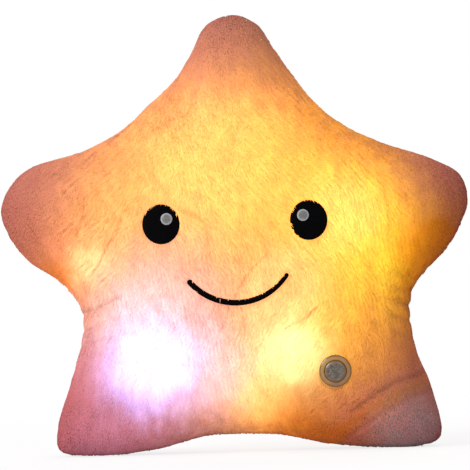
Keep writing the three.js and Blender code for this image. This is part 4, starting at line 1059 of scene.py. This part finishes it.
def pile(side, rows, count, distance, seed):
    """Fibres over one cover. Each rises from its root to near the pile's depth, runs on the way that
    `combed` gives, and is cut short where it would cross the face or the zip."""
    rng = np.random.default_rng(seed)
    between = evenly_scattered(rows, count, rng)
    root, normal = between(rows), between(surface_normals(rows, side))
    normal /= np.linalg.norm(normal, axis=1)[:, None]
    x, z = root[:, 0], root[:, 2]
    curly = smooth_step(z, *CURLY_FROM) * (1 - smooth_step(z, *CURLY_TO))
    lay = combed(x, z, normal, curly, seed, rng)
    beside_lay = np.cross(normal, lay)

    streak = np.zeros(count)
    for back in STREAK_STEPS:
        streak += ripple(x + lay[:, 0] * back, z + lay[:, 2] * back, STREAK_WIDTH, seed + 5) / 2.4
    calm = 1 - 0.8 * smooth_step(star_place(x, z)[0], 0.6, 0.88)
    at_tip = smooth_step(np.hypot(x, z - MIDDLE_HEIGHT), *POINTS_FROM)
    at_tip = np.maximum(at_tip, 0.6 * (1 - smooth_step(z, *FEET_BELOW)))
    length = (FIBRE_LENGTH + 0.8 * streak + rng.standard_normal(count) * 0.6) * (1 - 0.2 * curly)
    rise = PILE_DEPTH + (0.3 * streak + rng.standard_normal(count) * 0.2) * calm * (1 - 0.7 * at_tip)
    width = rng.uniform(*FIBRE_WIDTHS, count) * (1 + 0.6 * at_tip)

    def run(part):
        """The way from each root along its fibre, as far as a share of its present length."""
        return lay * (length * part)[:, None]

    start = distance(x, z)
    allowed = np.where((rng.random(count) > SHORT_SHARE) & (side < 0), -FACE_OVERLAP, FACE_GAP)
    keep = length_kept(root, run, start, distance, allowed)
    length, rise = length * keep, rise * (0.5 + 0.5 * keep)
    curl = rng.standard_normal(count) * 0.3 * keep * calm
    tone = tones(side, root, root + run(0.6), streak, at_tip, seed, rng)

    low = root - normal * 0.3
    mid = root + run(0.45) + normal * (0.95 * rise)[:, None] + beside_lay * curl[:, None]
    tip = root + run(1.0) + normal * (0.8 * rise)[:, None]
    half = beside_lay * (0.5 * width)[:, None]
    corners = np.stack([low, mid - half, mid + half, tip], 1)
    corners[:, 1:] = held_in(corners[:, 1:], side, rng.uniform(-0.4, 0.3, (count, 1)))

    flat = lay[:, [0, 2]] / np.maximum(np.hypot(lay[:, 0], lay[:, 2]), 0.05)[:, None]
    off = np.stack([-flat[:, 1], flat[:, 0]], -1) * width[:, None] * 0.6
    base, ahead = root[:, [0, 2]], flat * length[:, None]
    laid_out = np.stack([base, base + ahead * 0.45 - off, base + ahead * 0.45 + off, base + ahead], 1)

    bearing = np.arctan2(z - MIDDLE[1], x)
    apart = np.stack([np.abs(np.angle(np.exp(1j * (bearing - a)))) for a in POINTS.values()])
    nearest, grows, amber = apart.argmin(0), start > 0.1, amber_at(x, z, side)
    for index, point in enumerate(POINTS):
        chosen = np.flatnonzero((nearest == index) & grows)
        number = len(chosen)
        faces = (FIBRE_FACES + 4 * np.arange(number)[:, None, None]).reshape(-1, 3)
        name = ("front" if side < 0 else "back") + "_pile_" + point
        piece = mesh_piece(name, corners[chosen].reshape(-1, 3), [faces], PILE, "plush")
        store(piece, "tip", np.tile([0.0, 0.6, 0.6, 1.0], number))
        store(piece, "tone", np.repeat(tone[chosen], 4))
        store(piece, "amber", np.repeat(amber[chosen], 4))
        order = np.zeros(len(piece.data.loops), np.int32)
        piece.data.loops.foreach_get("vertex_index", order)
        places = laid_out[chosen].reshape(-1, 2)
        places = (places - places.min(0)) / (places.max(0) - places.min(0)).max()
        layer = piece.data.uv_layers.new(name="OFBake")
        layer.uv.foreach_set("vector", places[order].astype(np.float32).ravel())


pile(-1, front_rows, FRONT_FIBRES, distance_to_face, 11)
pile(1, back_rows, BACK_FIBRES, distance_to_zip, 29)


# The embroidered face.
SATIN_BACK = PILE_DEPTH + 0.3
THREAD_PITCH = 0.5


def on_front(x, z, sunk):
    """A place on the front of the body, a given depth under the tips of the pile."""
    share, turn, rim_height, _ = star_place(x, z)
    depth = crown(share, rim_height, 0.0) - unevenness(x, z, share, turn, -1)
    return np.stack([x, -depth + sunk, z], -1)


def satin_disc(name, across, height, width, length, top, dome, node, material, slot):
    """A satin-stitched disc as a stack of loops from its bottom to its top: each loop runs along a thread's
    rounded front and back along the flat ground, and the front swells in a dome and in a ridge per thread."""
    loops = int(length / THREAD_PITCH * 4)
    level = np.sin(np.linspace(-0.985, 0.985, loops) * np.pi / 2)[:, None]
    chord = np.sqrt(1 - level**2) * width / 2
    share = np.linspace(-1, 1, 25)[None, :]
    x, z = across + chord * share, height + level * length / 2 + 0 * share
    swell = dome * np.sqrt(np.clip(1 - (share * np.sqrt(1 - level**2)) ** 2 - level**2, 0, 1))
    ridge = 0.1 * np.abs(np.sin(np.pi * z / THREAD_PITCH)) * np.sqrt(1 - share**2)
    front = on_front(x, z, top)
    front[..., 1] -= swell + ridge
    back = on_front(x[:, ::-1][:, 4:-4:4], z[:, 4:-4:4], SATIN_BACK)
    piece = mesh_piece(name, *stack(np.concatenate([front, back], 1)), material, slot)
    places = piece_places(piece)
    store(piece, "rim", np.hypot(places[:, 0] - across, places[:, 2] - height) / (width / 2))
    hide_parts(node)


for name, way in (("left_eye", -1), ("right_eye", 1)):
    satin_disc(
        name + "_satin", way * EYE_ACROSS, EYE_HEIGHT, EYE_WIDTH, EYE_LENGTH,
        EMBROIDERY_DEPTH, 0.9, name, BLACK_THREAD, "black_thread",
    )
    satin_disc(
        name + "_highlight_satin", way * (EYE_ACROSS - HIGHLIGHT_INWARD), EYE_HEIGHT + HIGHLIGHT_UP,
        HIGHLIGHT_WIDTH, HIGHLIGHT_WIDTH, EMBROIDERY_DEPTH - 0.9, 0.6,
        name + "_highlight", HIGHLIGHT, "grey_thread",
    )


def smile():
    """The mouth: loops across an arc, domed to the front and flat behind, with a ridge for every thread."""
    steps, dome, ridge_height, taper = 640, 0.9, 0.12, 0.22
    run = np.linspace(-1, 1, steps)
    angle = run * MOUTH_SWEEP / 2 - np.pi / 2 + MOUTH_TURN
    half_run = MOUTH_RADIUS * MOUTH_SWEEP / 2
    to_end = np.clip((np.abs(run) - 1) * half_run / (MOUTH_STROKE / 2) + 1, 0, 1)
    width = MOUTH_STROKE / 2 * (1 - taper * smooth_step(run, 0.2, 1.0)) * np.sqrt(1.02 - to_end**2)
    share = np.linspace(-1, 1, 13)[None, :]
    radius = MOUTH_RADIUS + width[:, None] * share
    x, z = radius * np.cos(angle)[:, None], MOUTH_MIDDLE + radius * np.sin(angle)[:, None]
    front = on_front(x, z, EMBROIDERY_DEPTH)
    ridge = ridge_height * np.abs(np.sin(np.arange(steps) * np.pi / 4))[:, None]
    front[..., 1] -= (dome + ridge) * np.sqrt(1 - share**2)
    back = on_front(x[:, ::-1][:, 3:-3:3], z[:, ::-1][:, 3:-3:3], SATIN_BACK)
    piece = mesh_piece("mouth_satin", *stack(np.concatenate([front, back], 1)), BLACK_THREAD, "black_thread")
    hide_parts("mouth")


smile()


# The press button.
ring_profile = [
    (9.1, 7.6), (9.1, 3.0), (9.1, -0.2), (9.2, -0.7), (9.5, -1.0), (10.2, -1.1), (11.6, -1.05), (12.4, -0.8),
    (12.8, -0.3), (13.0, 0.4), (13.0, 2.2), (12.8, 2.5), (10.3, 2.6), (10.2, 3.0), (10.2, 7.6),
]
ring_piece = mesh_piece("button_ring", *turned(ring_profile, 72, closed=True), RING_PLASTIC, "clear_plastic")
arm = piece_places(ring_piece) - button_centre
arm -= np.outer(arm @ button_out, button_out)
store(ring_piece, "rim", np.linalg.norm(arm, axis=1) / BUTTON_RADIUS)
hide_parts("button_bezel")
cap_profile = [
    (0.4, -2.2), (1.6, -2.2), (2.3, -2.35), (3.0, -2.5), (3.7, -2.4), (4.4, -2.2), (5.4, -2.2), (6.1, -2.45),
    (7.0, -2.35), (7.9, -1.95), (8.5, -1.4), (8.8, -0.6), (8.8, 3.9), (8.6, 4.0), (7.4, 4.0), (7.3, 1.1),
    (2.3, 1.0), (2.2, 1.6), (1.8, 1.7), (0.4, 1.7),
]
cap_piece = mesh_piece("button_dome", *turned(cap_profile, 72), CAP_PLASTIC, "grey_plastic", body="button")
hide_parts("button_cap")


def return_spring():
    """The button's spring: steel wire wound on a helix whose end turns lie nearly flat."""
    wire, turns, travel, flattening = 0.7, 4, 1.5, 0.09
    depth = (button_centre - piece_places(nodes["button_spring"])) @ button_out
    low, high = depth.min() + wire / 2, depth.max() - wire / 2
    t = np.linspace(0, turns, turns * 36 + 1)
    rise = t / turns - flattening * np.sin(2 * np.pi * t / turns)
    spoke = np.cos(2 * np.pi * t)[:, None] * button_side + np.sin(2 * np.pi * t)[:, None] * button_up
    path = button_centre - (low + (high - low) * rise)[:, None] * button_out + SPRING_RADIUS * spoke
    spring = mesh_piece("return_spring", *thread(path, button_out, wire / 2, 10), STEEL, "spring_steel")
    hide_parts("button_spring")
    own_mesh(spring)


return_spring()


# The zip.
def tape(name, node, inner, outer):
    """A woven tape: a flat band along the zip with a corded inner edge and rounded ends of its section."""
    y_low, y_high, waviness = 52.1, 52.9, 0.06
    xs = np.linspace(-TAPE_LENGTH / 2, TAPE_LENGTH / 2, 81)
    way = np.sign(outer - inner)
    section = np.array([
        (inner, y_low), (inner, y_high), (inner + way * 0.5, y_high + 0.22), (inner + way * 1.1, y_high),
        (outer - way * 0.3, y_high), (outer, (y_low + y_high) / 2), (outer - way * 0.3, y_low),
    ])
    wave = waviness * np.sin(xs * 0.9)[:, None]
    rings = [np.repeat(xs[:, None], len(section), 1), section[:, 1] + wave, section[:, 0] + wave * 0.5]
    piece = mesh_piece(name, *stack(np.stack(rings, -1)), TAPE, "zip_tape")
    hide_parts(node)


tape("zip_tape_upper_woven", "zip_tape_upper", 162.0, 174.0)
tape("zip_tape_lower_woven", "zip_tape_lower", 158.0, 146.0)


def teeth_coil(name, node, way):
    """One row of the zip's teeth: a nylon thread wound in flat loops, a loop for each tooth."""
    turns, radius = 34, 0.34
    low, high = (np.array(corner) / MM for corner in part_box(node))
    middle, half_z = (low + high) / 2, (high[2] - low[2]) / 2 - 0.3
    t = np.linspace(0, turns, turns * 16 + 1)
    x = low[0] + 0.5 + t / turns * (high[0] - low[0] - 1.0)
    y = middle[1] + 0.45 * np.sin(2 * np.pi * t)
    path = np.stack([x, y, middle[2] + way * half_z * np.cos(2 * np.pi * t)], -1)
    piece = mesh_piece(name, *thread(path, (1.0, 0.0, 0.0), radius), NYLON, "nylon")
    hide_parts(node)
    return piece


for label, way, fixed in (("upper", 1, 0.1636), ("lower", -1, 0.1564)):
    coil = teeth_coil("zip_coil_" + label, "zip_teeth_" + label, way)
    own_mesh(coil)

softened("zip_slider_body", "zip_slider", SLIDER_METAL, 0.22, body="slider")
softened("zip_pull_tab", "zip_pull", SLIDER_METAL, 0.2, body="pull")
for stop in ("zip_top_stop_upper", "zip_top_stop_lower", "zip_bottom_stop"):
    softened(stop + "_crimped", stop, SLIDER_METAL, 0.2)


def topstitching():
    """Two rows of stitches that hold the tapes, each stitch a short thread that dips at both ends."""
    first, pitch, length, from_edge, steps = -57.0, 2.9, 2.3, 0.9, 6
    t = np.linspace(0, 1, steps)
    parts = []
    for z in (ZIP_HEIGHT - SLOT_WIDTH / 2 + from_edge, ZIP_HEIGHT + SLOT_WIDTH / 2 - from_edge):
        for x in np.arange(first, -first, pitch):
            path = np.stack([x + length * t, 52.8 + 0.35 * np.sin(np.pi * t), np.full(steps, z)], -1)
            parts.append(thread(path, (0.0, 0.0, 1.0), 0.2))
    mesh_piece("zip_topstitching", *joined(parts), SEAM_THREAD, "plush")


topstitching()


# Finishes of the solids that stay as they are.
FINISHES = {
    "button_retainer": WHITE_PLASTIC, "button_housing": WHITE_PLASTIC, "switch_plunger": WHITE_PLASTIC,
    "switch_board": BOARD, "switch_body": CHIP, "battery_box": WHITE_PLASTIC,
    "battery_lid": WHITE_PLASTIC, "battery_cell": CELL_SLEEVE, "cell_spring": STEEL, "cell_contact": STEEL,
    "control_board": BOARD, "control_chip": CHIP, "lamp_board": BOARD, "lamp_lens": LENS,
    "lamp_lead": LEAD, "switch_lead": LEAD,
}
for node_name, node_object in nodes.items():
    for prefix, finish in FINISHES.items():
        if node_name.startswith(prefix):
            node_object.data.materials.clear()
            node_object.data.materials.append(finish)
softened("battery_pouch", "battery_pocket", POUCH, 0.3)


# The stage: a pale floor, a white surround and soft studio light.
def seen_directly(w):
    """1 where the camera, a mirror or a clear piece looks at the surround, 0 where it only lights things."""
    path = w.add("LightPath")
    seen = w.maths("MAXIMUM", path.outputs["Is Camera Ray"], path.outputs["Is Glossy Ray"])
    return w.maths("MAXIMUM", seen, path.outputs["Is Transmission Ray"])


def make_stage():
    """A wide floor at z = 0 that keeps the star's shadow, a white world, and three large soft lamps."""
    radius, thickness, sides = 4000, 20.0, 64
    disc = np.insert(circle(radius, sides), 2, 0.0, axis=1)
    floor_material = bpy.data.materials.new("pale_floor")
    floor_material.use_nodes = True
    tree = floor_material.node_tree
    w = Wires(tree)
    shader = tree.nodes["Principled BSDF"]
    w.feed(shader, Roughness=0.9)
    w.feed(shader, Base_Color=w.mix(w.noise(6.0), (0.80, 0.80, 0.80, 1), (0.83, 0.83, 0.83, 1)))
    fade = w.spread(w.vector("LENGTH", w.place()), 0.2, 1.2, 0.8, 1.0)
    white = w.feed(w.add("Emission"), Color=(1, 1, 1, 1), Strength=1.0)
    blend = w.add("MixShader")
    w.feed(blend, i0=w.maths("MULTIPLY", fade, seen_directly(w)), i1=shader.outputs[0], i2=white.outputs[0])
    w.feed(tree.nodes["Material Output"], Surface=blend.outputs[0])
    rings = np.stack([disc - [0, 0, thickness], disc])
    floor = mesh_piece("floor", *stack(rings), floor_material, smooth=False)
    floor.parent = None
    del floor["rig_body"]

    world = bpy.data.worlds.new("white_surround")
    bpy.context.scene.world = world
    world.use_nodes = True
    w = Wires(world.node_tree)
    background = world.node_tree.nodes["Background"]
    w.feed(background, Color=(1, 1, 1, 1), Strength=w.spread(seen_directly(w), 0.0, 1.0, 0.45, 1.0))

    def soft_lamp(name, place, size, power):
        data = bpy.data.lights.new(name, "AREA")
        data.shape, data.size, data.energy = "DISK", size, power
        lamp = bpy.data.objects.new(name, data)
        lamp.location = place
        lamp.rotation_mode = "QUATERNION"
        aim = Vector((0.0, 0.0, 0.16)) - Vector(place)
        lamp.rotation_quaternion = aim.to_track_quat("-Z", "Y")
        bpy.context.scene.collection.objects.link(lamp)

    soft_lamp("key_light", (-1.5, -1.2, 1.0), 1.2, 42.0)
    soft_lamp("fill_light", (1.0, -1.6, 1.0), 1.4, 7.0)
    soft_lamp("back_light", (0.5, 1.6, 1.2), 1.4, 16.0)


make_stage()
